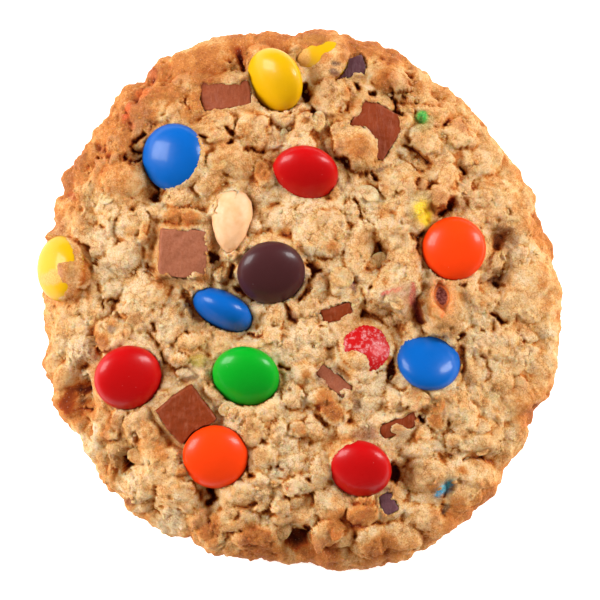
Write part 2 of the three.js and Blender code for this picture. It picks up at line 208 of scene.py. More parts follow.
TOP_VIEW_RAY = np.array([0.0, 0.0, 1.0])
PROBE = 60.0  # rays to a block are cast from this far away
EDGE_BAND = 0.4  # a block's top face is measured this far inside its outline
TOP_FACE_TURN = 0.93  # the cosine of how far a face may turn away and still belong to the top


class Lens:
    """A candy-coated button: an ellipsoid, flattened along its own third axis."""

    def __init__(self, node):
        points, _ = node_mesh(node)
        self.middle = middle_of(node)
        about = points - self.middle
        corners = np.unique(np.round(about, 3), axis=0)
        _, axes = np.linalg.eigh(corners.T @ corners)
        flat = axes[:, 0] * (1 if axes[2, 0] >= 0 else -1)
        side = np.cross([0.0, 1.0, 0.0], flat)
        side /= np.linalg.norm(side)
        self.axes = np.stack([side, np.cross(flat, side), flat], axis=1)
        self.half = np.abs(corners @ self.axes).max(0)
        self.half[:2] = self.half[:2].max()
        self.reach = self.half.max()

    def cross(self, origins, rays):
        """For rays from outside going in: how far out each meets the top and the underside,
        and how far it passes outside the outline, in millimetres."""
        o = ((origins - self.middle) @ self.axes) / self.half
        d = (rays @ self.axes) / self.half
        dd = (d * d).sum(1)
        od = (o * d).sum(1)
        nearest = -od / dd
        miss = np.sqrt(np.maximum(((o + nearest[:, None] * d) ** 2).sum(1), 0))
        half_chord = np.sqrt(np.maximum(1 - miss**2, 0) / dd)
        return nearest + half_chord, nearest - half_chord, (miss - 1) * self.half[0] * 0.92


class Block:
    """A chunk or nut: its own faces, and its outline seen from above."""

    def __init__(self, node):
        points, faces = node_mesh(node)
        self.tree = tree_of(node)
        self.middle = middle_of(node)
        self.reach = np.linalg.norm(points - self.middle, axis=1).max()
        self.outline = hull_2d(points[top_face(points, faces), :2])

    def cross(self, origins, rays):
        """The same as a lens's. Past its outline the block's upper plane goes on."""
        top = np.full(len(origins), np.nan)
        under = np.full(len(origins), np.nan)
        for i, (origin, ray) in enumerate(zip(origins, rays)):
            ray = Vector(ray)
            start = Vector(origin)
            hit = self.tree.ray_cast(start + ray * PROBE, -ray)[3]
            if hit is not None:
                top[i] = PROBE - hit
                back = self.tree.ray_cast(start - ray * PROBE, ray)[3]
                under[i] = -PROBE + back
        level_run = (self.middle[2] - origins[:, 2]) / np.maximum(rays[:, 2], 0.3)
        at = origins + rays * level_run[:, None]
        outside = outline_distance(at[:, :2], self.outline)
        missed = np.isnan(top)
        level = ((self.middle - origins) * rays).sum(1)
        inner = ~missed & (outside < -EDGE_BAND)
        table = np.stack([at[:, 0], at[:, 1], np.ones(len(at))], axis=1)
        plane = np.linalg.lstsq(table[inner], (top - level)[inner], rcond=None)[0]
        level = level + table @ plane
        thick = np.nanmedian(top - under)
        top = np.where(missed | (outside > 0), level, top)
        under = np.where(missed, level, under)
        deep = outside < -EDGE_BAND / 2
        return top, np.where(deep, np.minimum(under, top - thick), under), outside


def top_face(points, faces):
    """Which points are corners of the faces that turn the way the largest upper face does."""
    corners = points[np.array([f[:3] for f in faces])]
    across = np.cross(corners[:, 1] - corners[:, 0], corners[:, 2] - corners[:, 0])
    normals = across / np.linalg.norm(across, axis=1, keepdims=True)
    level = normals @ normals[np.argmax(across[:, 2])] > TOP_FACE_TURN
    return np.unique([k for face, ok in zip(faces, level) if ok for k in face])


def hull_2d(points):
    """The corners of the outline round some points, anticlockwise."""
    rows = sorted(set(map(tuple, np.round(points, 4))))
    half_turn = []
    for run in (rows, rows[::-1]):
        chain = []
        for p in run:
            while len(chain) > 1:
                if np.cross(np.subtract(chain[-1], chain[-2]), np.subtract(p, chain[-1])) > 0:
                    break
                chain.pop()
            chain.append(p)
        half_turn += chain[:-1]
    return np.array(half_turn)


def outline_distance(points, outline):
    """How far points lie outside a convex outline, negative inside."""
    ahead = np.roll(outline, -1, axis=0) - outline
    along = points[:, None] - outline[None]
    length = np.linalg.norm(ahead, axis=1)
    side = (along[..., 1] * ahead[:, 0] - along[..., 0] * ahead[:, 1]) / length
    t = np.clip((along * ahead).sum(2) / length**2, 0, 1)
    nearest = np.linalg.norm(along - t[..., None] * ahead, axis=2).min(1)
    return np.where((side >= 0).all(1), -nearest, nearest)


# Where the dough leaves a topping open, and what covers it: (x, y, half length, half width, turn).
WINDOWS = {
    "button_red_broken": [(13, -9.6, 4.3, 4.2, 0)],
    "button_yellow_sunk": [(1.7, 48.3, 2.5, 1.8, 35), (4.6, 50, 1.9, 0.6, 10)],
}
COVERS = {
    "button_red_broken": [(10.4, -13.4, 3.7, 3.7, 0), (7.6, -9.8, 1.7, 1.5, 0)],
    "chunk_upper_right": [(10.4, 30, 4.7, 5.4, 110), (14.6, 25, 2.4, 2.2, 0), (10.6, 37.4, 1.6, 1, 20),
                          (21.4, 36.4, 1.7, 2.2, 0), (13.6, 40.6, 2.8, 1.1, -20)],
    "chunk_left": [(-20.8, 4.3, 1.8, 1.1, 10), (-27.2, 4.6, 1.6, 0.9, 0),
                   (-23.4, 14.4, 3.6, 0.7, -4), (-18.2, 12.6, 0.9, 1.4, 0)],
    "chunk_upper_left": [(-13.6, 37, 3.4, 0.9, 0), (-9, 37.6, 1.3, 1, 0), (-14.6, 44.9, 6.4, 2.1, 2)],
    "chunk_lower_left": [(-22.6, -15.2, 1.8, 1.2, -20)],
    "chunk_middle": [(4.8, -0.8, 2.4, 1.2, 20), (9.4, -3.8, 2.2, 1.1, 20), (4.6, -4.8, 1.5, 0.7, 20)],
    "chunk_lower_middle": [(7.2, -14.4, 0.9, 0.6, -40), (9.3, -18.4, 1.2, 1, 0), (4, -16.8, 1.2, 1.2, 0)],
    "chunk_lower_right": [(18.8, -25.6, 1.9, 1.2, 10), (20.2, -22.6, 1.5, 0.9, 30), (23.8, -24, 1, 1.4, 0)],
    "dark_chunk_top": [(8.6, 47.5, 0.5, 0.6, 0), (8.2, 45.6, 0.6, 0.35, 0), (12.1, 44.5, 1.1, 0.8, 0)],
    "dark_chunk_low": [(18.4, -39.4, 1, 0.6, 20), (16.2, -42, 0.9, 1.2, 0)],
    "button_yellow_edge": [(-44.6, 12.4, 1.4, 1.2, 0), (-44.4, 5.4, 1.6, 2.6, 0)],
}
# Dough laps over these from a direction, by about this many millimetres.
LAPS = {
    "button_blue_upper": (-35, 1.6),
    "button_red_upper": (225, 1.0),
    "button_red_lower": (150, 0.9),
    "button_blue_right": (100, 1.1),
    "button_orange_lower": (200, 0.5),
    "button_yellow_edge": (350, 1.6),
}
# Chocolate that stands out of the dough, with how far the dough beside it is held down.
PROUD = {"chunk_lower_left": 1.5, "chunk_left": 0.6}
# The open slit over the covered button: its middle, width and length.
SLIT_PLACE = (28.05, 0.8)
SLIT_SIZE = (2.9, 4.6)
SLIT_TURN = 100
SLIT_BAND = 0.28  # how wide the shell's edge shows round the chocolate in the slit

BUTTONS = sorted(n for n in frame["nodes"] if n.startswith("button_"))
BLOCKS = sorted(n for n in frame["nodes"] if "chunk_" in n) + ["peanut_half"]
toppings = {n: Lens(n) for n in BUTTONS} | {n: Block(n) for n in BLOCKS}


# ---- The dough's skin: rays that fan out from inside the cookie, and how far each runs

SKIN_STEP = 0.345  # between vertices
BASE_STEP = 1.3
FAN_REACH = 6.5  # the fan of the rim starts this far inside the outline
FAN_HEIGHT = 4.0
FAN_END = math.radians(118)
FAN_RINGS = 38
FAR = 80.0
OUTLINE_HEIGHT = 3.0  # where the CAD outline is measured
OUTLINE_WAVES = 40.0  # how fine its bends stay, in waves round the cookie
SPIKE = 0.45  # a vertex this far above all but one of its neighbours stands alone
TOPPING_MARGIN = 5
FILL_ROUNDS = 360
SOFTEN_ROUNDS = 12
dough_tree = tree_of("dough")


def outline_radii(count=720):
    """The radius of the CAD dough's outline in count directions, with its facets smoothed."""
    radii = []
    for k in range(count):
        turn = 2 * math.pi * k / count
        out = Vector((math.cos(turn), math.sin(turn), 0))
        start = out * FAR + Vector((0, 0, OUTLINE_HEIGHT))
        radii.append(FAR - dough_tree.ray_cast(start, -out)[3])
    spread = np.fft.rfft(radii)
    spread *= np.exp(-((np.arange(len(spread)) / OUTLINE_WAVES) ** 2))
    return np.fft.irfft(spread, count)


RADII = outline_radii()


def radius_at(turn):
    """The outline's radius in a direction in radians."""
    place = (turn / (2 * math.pi) * len(RADII)) % len(RADII)
    return np.interp(place, np.arange(len(RADII) + 1), np.append(RADII, RADII[0]))


def skin_rings():
    """Each ring's start points, rays and number of vertices, from the middle of the top down to
    the edge of the underside."""
    mean = RADII.mean()
    flat_rings = round((mean - FAN_REACH) / SKIN_STEP)
    plan = [(k / flat_rings, 0.0) for k in range(flat_rings + 1)]
    plan += [(1.0, FAN_END * j / FAN_RINGS) for j in range(1, FAN_RINGS + 1)]
    starts, rays, counts = [], [], []
    for share, lean in plan:
        reach = share * (mean - FAN_REACH) + FAN_REACH * math.sin(lean)
        count = max(1, round(2 * math.pi * reach / SKIN_STEP))
        turn = 2 * math.pi * (np.arange(count) + 0.5 * (len(counts) % 2)) / count
        out = np.stack([np.cos(turn), np.sin(turn), np.zeros(count)], axis=1)
        starts.append(out * (share * (radius_at(turn) - FAN_REACH))[:, None] + [0, 0, FAN_HEIGHT])
        rays.append(out * math.sin(lean) + [0, 0, math.cos(lean)])
        counts.append(count)
    return np.concatenate(starts), np.concatenate(rays), counts


def ring_faces(counts, first=0):
    """Triangles between rings of vertices that follow each other, given as their counts."""
    starts = np.concatenate([[0], np.cumsum(counts)]) + first
    faces = []
    for k in range(len(counts) - 1):
        faces += join_rings((int(starts[k]), counts[k]), (int(starts[k + 1]), counts[k + 1]))
    return faces


class Skin:
    """The dough's surface as a net of vertices, each at some run along its own ray."""

    def __init__(self):
        self.starts, self.rays, self.counts = skin_rings()
        self.faces = np.array(ring_faces(self.counts))
        edges = np.sort(self.faces[:, [0, 1, 1, 2, 2, 0]].reshape(-1, 2), axis=1)
        self.edges = np.unique(edges, axis=0)
        self.size = len(self.starts)
        self.degree = np.bincount(self.edges.ravel(), minlength=self.size).astype(float)

    def around(self, values):
        """The mean of each vertex's neighbours."""
        a, b = self.edges.T
        total = np.bincount(a, values[b], self.size) + np.bincount(b, values[a], self.size)
        return total / self.degree

    def blur(self, values, rounds, keep=None):
        """Evens values out, except at the vertices to keep."""
        for _ in range(rounds):
            fresh = 0.35 * values + 0.65 * self.around(values)
            values = fresh if keep is None else np.where(keep, values, fresh)
        return values

    def trim(self, values, rounds):
        """Lowers single vertices that stand up alone."""
        a, b = self.edges.T
        for _ in range(rounds):
            reached_a, reached_b = values[b] > values[a] - SPIKE, values[a] > values[b] - SPIKE
            beside = np.bincount(a, reached_a, self.size) + np.bincount(b, reached_b, self.size)
            values = np.where(beside < 2, np.minimum(values, self.around(values)), values)
        return values

    def at(self, run):
        return self.starts + self.rays * run[:, None]


skin = Skin()


def cad_run():
    """How far out the CAD dough lies along each ray."""
    run = np.zeros(skin.size)
    for i, (start, ray) in enumerate(zip(skin.starts, skin.rays)):
        ray = Vector(ray)
        hit = dough_tree.ray_cast(Vector(start) + ray * FAR, -ray)[3]
        run[i] = 0.0 if hit is None else FAR - hit
    return run


def meetings(run):
    """For each topping: the skin's vertices near it, where the topping's top and underside cross
    their rays, and how far outside its outline they lie."""
    found = {}
    at = skin.at(run)
    for name, topping in toppings.items():
        near = np.flatnonzero(np.linalg.norm(at - topping.middle, axis=1) < topping.reach + TOPPING_MARGIN)
        found[name] = (near, *topping.cross(skin.starts[near], skin.rays[near]))
    return found


def bare_run():
    """The CAD dough's skin as if no topping were sunk into it, without its facets."""
    run = cad_run()
    open_places = np.zeros(skin.size, bool)
    for near, top, _, outside in meetings(run + 2).values():
        open_places[near[(outside < 0.7) & (run[near] < top + 0.1)]] = True
    level = run[~open_places].mean()
    run[open_places] = level
    run = skin.blur(run, FILL_ROUNDS, keep=~open_places)
    return skin.blur(run, SOFTEN_ROUNDS)


# ---- The dough's crags

def worked(list_of_places):
    """Turns places of the photo into the frame's."""
    return [(*spot(x, y), *rest) for x, y, *rest in list_of_places]


# Crevices and holes in tenths of a millimetre: (width, depth, x, y, x, y, ...) along the crevice.
CREVICES = [
    (19, 46, -16, -478, -4, -484, 6, -478), (12, 30, 9, -466, 12, -452),
    (9, 24, -449, -112, -444, -145, -438, -170), (16, 36, -444, -174, -442, -194, -444, -210),
    (7, 24, -432, -176, -422, -178), (8, 26, -432, -213, -418, -218),
    (15, 50, -349, -314, -342, -324, -344, -336), (9, 40, -342, -322, -324, -324),
    (10, 22, -366, -334, -359, -348), (12, 16, -348, -402, -332, -410), (11, 16, -424, -256, -420, -278),
    (5, 18, -353, -218, -356, -245, -358, -262), (8, 20, -352, -282, -338, -294, -336, -306),
    (8, 24, 324, -319, 336, -314, 352, -315, 362, -314), (6, 20, 362, -314, 374, -326, 384, -336),
    (8, 30, 294, -382, 292, -398, 284, -412), (5, 15, 260, -412, 274, -416, 304, -426),
    (11, 30, 214, 310, 224, 296, 240, 284, 251, 272), (6, 16, 254, 272, 266, 284, 274, 282),
    (5, 18, 274, 274, 300, 270, 318, 260, 328, 248), (10, 20, 321, 258, 327, 249),
    (7, 18, 310, 246, 306, 214, 302, 196), (12, 28, 302, 198, 292, 180, 278, 166),
    (14, 20, 246, 134, 226, 122), (13, 28, 112, 430, 116, 418), (12, 24, 144, 412, 138, 406),
    (17, 40, 9, 426, 12, 408), (7, 24, 30, 380, 36, 370, 44, 362), (10, 26, 172, 366, 186, 369, 202, 366),
    (9, 22, 188, 396, 186, 382, 184, 370), (7, 18, 183, 416, 182, 404), (12, 20, 216, 452, 224, 446),
    (8, 14, 218, 434, 226, 428), (10, 20, 216, 413, 224, 410), (7, 18, 206, 402, 214, 399),
    (5, 16, 246, 391, 266, 382, 288, 373, 295, 362), (4, 14, 295, 362, 294, 346),
    (5, 16, 291, 326, 289, 312, 284, 308), (9, 20, 236, 240, 232, 228),
    (9, 20, 110, 192, 118, 170, 124, 152), (4, 12, 126, 152, 152, 138, 158, 124),
    (10, 32, 154, 114, 159, 92, 155, 68), (6, 20, 154, 64, 152, 44, 142, 22),
    (10, 24, 122, 22, 126, 2, 126, -22, 124, -38), (15, 28, -174, 96, -166, 86, -170, 76),
    (12, 24, -136, 64, -134, 48), (16, 30, -116, 22, -94, 4), (20, 24, 16, 72, 26, 58),
    (9, 18, -26, -12, -18, -28, -10, -44), (5, 22, 42, -52, 52, -50), (6, 14, -70, -56, -76, -72),
    (15, 30, 176, -116, 184, -144), (18, 36, 234, -6, 239, -24, 242, -42), (8, 18, 318, 32, 332, 30),
    (9, 24, 378, -26, 390, -30), (10, 30, 398, -40, 404, -44), (8, 20, 386, -50, 366, -56, 346, -52),
    (9, 24, 316, -76, 324, -72), (15, 26, 322, -96, 324, -134, 308, -168), (6, 12, 362, -106, 372, -116),
    (8, 14, 376, -124, 376, -140, 374, -160, 362, -172), (11, 9, 394, 120, 406, 126, 422, 136),
    (9, 15, 398, 96, 402, 78, 404, 62), (11, 9, 380, 49, 394, 44, 406, 50), (10, 20, 384, 30, 394, 26),
    (19, 36, 186, -328, 196, -334, 192, -352), (12, 26, 234, -238, 246, -240),
    (5, 16, 300, -309, 306, -312), (15, 38, -179, -378, -176, -394, -182, -404),
    (4, 12, -136, -402, -116, -406, -92, -404), (6, 24, -26, -376, -24, -388, -18, -395),
    (6, 18, -48, -328, -38, -332), (6, 16, 10, -356, 16, -360), (5, 12, -124, -468, -122, -458),
    (12, 30, -326, 316, -314, 322), (12, 26, -330, 302, -316, 294),
    (5, 16, -394, 286, -372, 274, -360, 272), (6, 18, -354, 286, -352, 278), (9, 30, -340, 276, -316, 280),
    (13, 30, -304, 252, -296, 232, -286, 216), (10, 24, -292, 206, -288, 196),
    (6, 16, -404, 308, -396, 299), (3.5, 10, -390, 326, -368, 334),
    (5, 12, -432, 229, -420, 240, -406, 248), (8, 14, -348, 386, -346, 366, -336, 352),
    (6, 12, -324, 408, -310, 416), (15, 18, -298, 446, -290, 456), (9, 16, -456, 216, -452, 206),
    (7, 20, -222, 414, -224, 386, -222, 362), (13, 22, -144, 342, -136, 338), (9, 20, -144, 309, -136, 314),
    (9, 30, -192, 326, -186, 320), (11, 34, -122, 492, -118, 474, -116, 462), (10, 22, -74, 386, -64, 378),
    (5, 18, -26, 368, -22, 376), (18, 34, 84, 280, 92, 266), (12, 28, 146, 246, 154, 236),
    (8, 16, -92, 306, -76, 296), (8, 18, -299, 120, -299, 80, -298, 46), (6, 16, -300, 156, -300, 132),
    (8, 16, -393, 152, -391, 142), (8, 18, -410, 74, -406, 70), (6, 14, -432, 78, -428, 74),
    (9, 20, -392, -4, -390, -22), (8, 16, -376, -2, -368, -4), (9, 20, -294, -46, -290, -62),
    (7, 16, -348, -44, -348, -64, -352, -80), (6, 16, -222, -63, -218, -65),
    (22, 18, -228, 6, -214, -16, -194, -32), (9, 12, 458, -244, 468, -226, 482, -206),
    (6, 10, 494, 14, 498, 10), (6, 12, 431, 240, 435, 236), (10, 20, -96, -66, -80, -74),
    (10, 20, -40, -130, -28, -136), (10, 26, -106, -330, -102, -348), (16, 30, 240, 130, 236, 100, 246, 68),
    (12, 26, 19, 46, 19, 22, 6, 2), (12, 24, -42, -129, -34, -152, -40, -182),
    (13, 22, -16, 216, 24, 202, 64, 206), (10, 24, -276, -96, -268, -134, -274, -174),
]

# Rounded lumps and plates of dough: (x, y, half length, half width, turn of the length, height).
LUMPS = [
    (4.5, 13.2, 6, 5, 0, 1.1), (12, 10.5, 5.4, 3, 78, 1), (-5, -3, 3, 2, 60, 0.9),
    (-1.2, -1.6, 2.2, 1.3, 100, 0.9), (1.8, -1.3, 2.4, 2, 0, 0.8), (3.2, 2.6, 2.6, 2, 60, 0.6),
    (8.2, 3.2, 3.2, 2.4, 90, 0.9), (6.8, -6.4, 5.2, 2.8, 18, 1), (-7.5, -7.2, 4.2, 2, 15, 0.6),
    (0, -8.6, 3.5, 2.6, 0, 0.5), (11.2, -12.2, 4.5, 3.2, -35, 0.9), (19, 1.2, 6.4, 4.9, 90, 1.2),
    (18.6, 13.4, 4, 3.6, 0, 0.7), (1, -14.5, 2.6, 2, 0, 0.9), (-1.5, -18.8, 2.6, 2, 100, 0.9),
    (4.8, -19.2, 3.4, 2, 0, 1.1), (6.8, -22.6, 3, 2.4, -30, 0.9), (0, -25.8, 2.2, 1.6, 0, 1),
    (3.2, -26, 2, 1.7, 0, 0.9), (-4.5, -26, 2.4, 1.6, 60, 0.8), (9.8, -26.4, 2.8, 1.8, -30, 1.1),
    (4.6, -33, 3.2, 2.4, 70, 1.1), (1.5, -36.5, 4, 2.2, 10, 0.9), (-7, -31, 2.6, 2.6, 0, 0.9),
    (-4, -33.9, 2, 1.3, 0, 0.7), (-9.5, -26, 3.2, 2.4, 90, 0.8), (-12, -22.5, 2.5, 1.9, 0, 0.6),
    (-6, -21, 3.4, 2.4, 40, 0.9), (-13, -38.6, 5, 2.6, 10, 0.9), (-7.5, -39.5, 2, 1.5, 90, 0.8),
    (-3.8, -41, 2.1, 2, 0, 0.9), (-9, -35.5, 3, 1.6, -20, 0.6), (-13, -43.8, 5, 2.6, 0, 0.8),
    (-8.5, -47, 4, 2, 0, 0.8), (-17.5, -46.4, 3, 2, 0, 0.8), (12.8, -39.3, 1.8, 1.5, 0, 1.4),
    (12.5, -42.6, 3.4, 2.2, 0, 1.1), (6, -41.4, 3, 2.8, 0, 0.8), (5.5, -46.3, 3.8, 2.6, 30, 1.1),
    (14.5, -47.6, 3.4, 3.2, 0, 1), (19.5, -20, 2.4, 2.2, 0, 1), (23, -19.6, 2.6, 2.2, 90, 1),
    (28.2, -20.6, 3.6, 3.1, 90, 1.1), (27, -23.9, 2.2, 1.8, 0, 0.9), (32.5, -23.5, 3.6, 2.9, 80, 1),
    (24.5, -26.6, 2, 1.5, 90, 0.9), (30.3, -27.8, 1.7, 1.5, 0, 1), (23.5, -30, 3.2, 1.6, 0, 0.7),
    (24.8, -34.8, 4.6, 3.6, 0, 1.1), (30.8, -33.8, 3, 2, 60, 0.7), (35.6, -34.8, 4.2, 3, -20, 0.9),
    (33.2, -39.2, 3.4, 2.8, 30, 0.7), (19.6, -38, 2.4, 2, 90, 0.8), (24.5, -43.2, 4, 2.4, 0, 0.9),
    (20, -46.6, 4, 2.8, 0, 0.9), (28, -45, 3.4, 1.8, 20, 0.7), (36.8, -27.2, 4, 3.2, 20, 0.6),
    (22, 16, 3.4, 2.8, -20, 1), (21.4, 7.4, 3.4, 2.9, 100, 1), (28.2, -1.6, 4.6, 4, 90, 1.3),
    (28.6, -5.4, 4.6, 2, 0, 1.1), (36.4, 1.2, 3.2, 2.4, 0, 0.7), (45.8, 3.4, 8, 5, 90, 0.8),
    (39.4, -9, 5, 3, 0, 0.5), (-37.5, -6.5, 4, 3.2, 20, 1.1), (-32, 0, 4.4, 2.8, 90, 0.6),
    (-28.4, 0.8, 2.6, 2, 90, 0.8), (-34, 8.6, 3, 2.4, 60, 0.5), (-36.5, 19, 3.5, 3, 0, 0.9),
    (-33, 15.4, 3, 2.3, 0, 0.8), (-30.9, 14.6, 3.6, 0.9, 85, 1), (-26.4, -5, 3.8, 3.8, 0, 0.6),
    (-21.5, -8.2, 2.6, 1.8, 0, 0.9), (-24.2, -12, 2, 1.4, 10, 0.9), (-22.4, -14.8, 2, 1.3, -20, 1.1),
    (-46.4, -21.4, 2.6, 2.2, 0, 1.1), (-38.4, -23.6, 3.8, 2.9, 90, 0.8), (-33.6, -24.6, 2.4, 1.3, 80, 0.9),
    (-30, -26.6, 3.4, 2.2, 110, 0.8), (-44.4, -26.4, 2.4, 1.7, 90, 0.7), (-28.4, -33, 5, 4, 0, 0.8),
    (-23.4, -33.7, 1.5, 1, 30, 1.2), (-24.4, -38.4, 4.5, 3, -25, 0.8), (-32, -37.6, 3.5, 2.8, 0, 0.6),
    (-36, 31.5, 3.6, 3, 0, 1), (-33.2, 37.6, 3, 2.4, 0, 0.7), (-34.7, 24, 5, 3.8, 15, 1.2),
    (-28.2, 39.6, 5, 4, 30, 0.7), (-24.4, 20.3, 3.4, 1.9, 10, 0.9), (-23.2, 16.7, 5.4, 1.7, -4, 1.2),
    (-20, 4.2, 2.4, 1.6, 10, 1.2), (-28, 17.6, 2, 1.7, 0, 0.9), (-42.4, 29, 2.6, 2.4, 0, 0.7),
    (-18.4, 24.6, 4.4, 2.9, 70, 1), (-16.6, 34.4, 3.8, 3.2, 20, 1.1), (-10.2, 34.6, 2.6, 2.1, 40, 0.9),
    (-6.2, 32.2, 3.4, 2.6, 0, 0.9), (-3.3, 36, 2.4, 1.8, 0, 0.8), (1.4, 35.5, 2.6, 1.7, -10, 1),
    (1.2, 38.4, 1.2, 1, 0, 0.8), (5.9, 40.4, 4, 3.6, 60, 1.2), (-1.5, 31.9, 3.4, 1.5, 0, 0.6),
    (-13, 27.5, 4.5, 3, -30, 0.8), (-7, 25, 3, 2.1, 110, 1.1), (11, 30.6, 5.4, 4.4, 110, 1.4),
    (2.5, 17.2, 4, 2.4, 0, 0.6), (-3.5, 15.8, 3.4, 2.8, 0, 0.7), (27, 36.6, 2.7, 2.1, 0, 0.8),
    (32.2, 33.4, 3.4, 2.9, 100, 0.7), (25, 31.8, 3.8, 2.7, -45, 1.1), (22.4, 28.1, 3.4, 1.4, -30, 0.6),
    (28.9, 21.8, 5.2, 2.1, 72, 1.3), (20.8, 24, 3.2, 2.7, 0, 0.8), (17.6, 22.8, 2.9, 1.7, 90, 0.9),
    (36.4, 28.6, 4.2, 4, 0, 0.5), (38.4, 20, 5, 3.8, 45, 0.5), (-20, 46.6, 6, 3.8, 20, 0.7),
    (17.4, 44.4, 4, 2.6, -30, 0.7), (-15.2, 9.2, 0.9, 1.6, 0, 0.6), (-15.6, 5, 1.9, 1.6, 30, 1.1),
    (-13.4, 8.6, 1.5, 1, 10, 1), (-9.6, 14.6, 1.8, 1.5, 0, 0.8),
]

# Where the rim bulges: (direction, reach to each side in degrees, millimetres).
SWELLS = [
    (341, 17, 2.3), (0, 9, 0.8), (26, 12, 0.9), (111, 14, 2), (202, 10, 2.2), (298, 16, 0.9), (250, 8, 0.8),
]

# Smoother stretches of crust: (x, y, radius).
SMOOTH = [
    (46, 4, 9), (43, -14, 9), (42, 24, 9), (35, 31, 6), (38, -26, 7), (-34.6, 23.6, 5), (-20, 47, 7),
    (30, -44, 6), (38, -36, 5), (31, 29, 6), (12, 10, 5), (18, 1, 5),
]

PLACED_HEIGHT = 1.45  # what the heights of the placed lumps are multiplied by
LUMP_SIZE = 3.6
CRUMB_SIZE = 1.55
GRAIN_SIZE = 0.85
RIM_LUMP_SIZE = 1.9
FLAKE_SEED = 5
FLAKE_COUNT = 230
PIT_SEED = 9
PIT_COUNT = 520


def segment_distance(points, a, b):
    a, b = np.array(a), np.array(b)
    t = np.clip(((points - a) @ (b - a)) / ((b - a) @ (b - a)), 0, 1)
    return np.linalg.norm(points - a - t[:, None] * (b - a), axis=1)


def calm_share(at):
    """How smooth the crust is at each place, from 0 to 1."""
    flat = at[:, :2]
    reach = radius_at(np.arctan2(flat[:, 1], flat[:, 0]))
    rim = ease(0.82, 0.98, np.linalg.norm(flat, axis=1) / reach)
    calm = rim * (0.2 + 0.45 * ease(-0.1, 0.5, flat[:, 0] / reach))
    for x, y, radius in worked(SMOOTH):
        far = np.hypot(flat[:, 0] - x, flat[:, 1] - y) + 1.5 * smooth_noise(at, 4.0, 44)
        calm = np.maximum(calm, ease(radius * 1.15, radius * 0.6, far))
    return calm


def placed_lumps(at):
    flat = at[:, :2] + 0.55 * shifts(at, 2.0, (61, 70), 3)
    height = np.zeros(len(at))
    for *oval, rise in worked(LUMPS):
        u, v = in_oval(flat, *oval)
        height = np.maximum(height, rise * np.sqrt(np.clip(1 - (u * u + v * v) ** 1.6, 0, 1)))
    return height


def tangents(ray):
    side = np.cross([0.0, 1.0, 0.2], ray)
    side /= np.linalg.norm(side)
    return side, np.cross(ray, side)


def stamp(at, centre, reach):
    """The vertices within reach of one of them, and their places on the skin about it."""
    away = at - at[centre]
    near = np.flatnonzero((np.abs(away) < reach).all(1))
    side, ahead = tangents(skin.rays[centre])
    return near, away[near] @ side, away[near] @ ahead


def add_flakes(run, at, random):
    """Rolled oats lying in the crust, some tilted out of it."""
    flake = np.zeros(skin.size)
    level = np.flatnonzero(skin.rays[:, 2] > 0.85)
    for _ in range(FLAKE_COUNT):
        centre = random.choice(level)
        length = random.uniform(1.0, 2.6)
        width = length * random.uniform(0.55, 0.85)
        turn = random.uniform(0, 2 * math.pi)
        tilt = random.normal(0, 0.2, 2)
        near, u, v = stamp(at, centre, length + 0.6)
        p, q = along(u, v, turn)
        p, q = p / length, q / width
        edge = p**2 + q**2 + 0.5 * smooth_noise(at[near], 1.3, 77)
        cup = -0.12 * edge - 0.08 * np.exp(-((q / 0.16) ** 2)) + 0.12 * smooth_noise(at[near], 1.0, 79)
        lift = run[centre] + random.uniform(0.05, 0.45) + cup + tilt[0] * u + tilt[1] * v
        inside = ease(1.1, 0.8, edge)
        raised = np.maximum(run[near], lift)
        flake[near] = np.maximum(flake[near], inside * (raised > run[near] + 0.02))
        run[near] += (raised - run[near]) * inside
    return flake


def add_pits(run, at, random):
    """Small holes that steam left in the crust."""
    for _ in range(PIT_COUNT):
        centre = random.integers(skin.size)
        size = random.uniform(0.24, 0.38) * (1 + random.exponential(0.35))
        stretch = random.uniform(1, 2.2)
        turn = random.uniform(0, math.pi)
        near, u, v = stamp(at, centre, size * stretch + 0.5)
        p, q = along(u, v, turn)
        hole = (p / (size * stretch)) ** 2 + (q / size) ** 2
        run[near] -= random.uniform(0.4, 1.1) * min(size, 0.7) * ease(1.0, 0.25, hole)
    return run


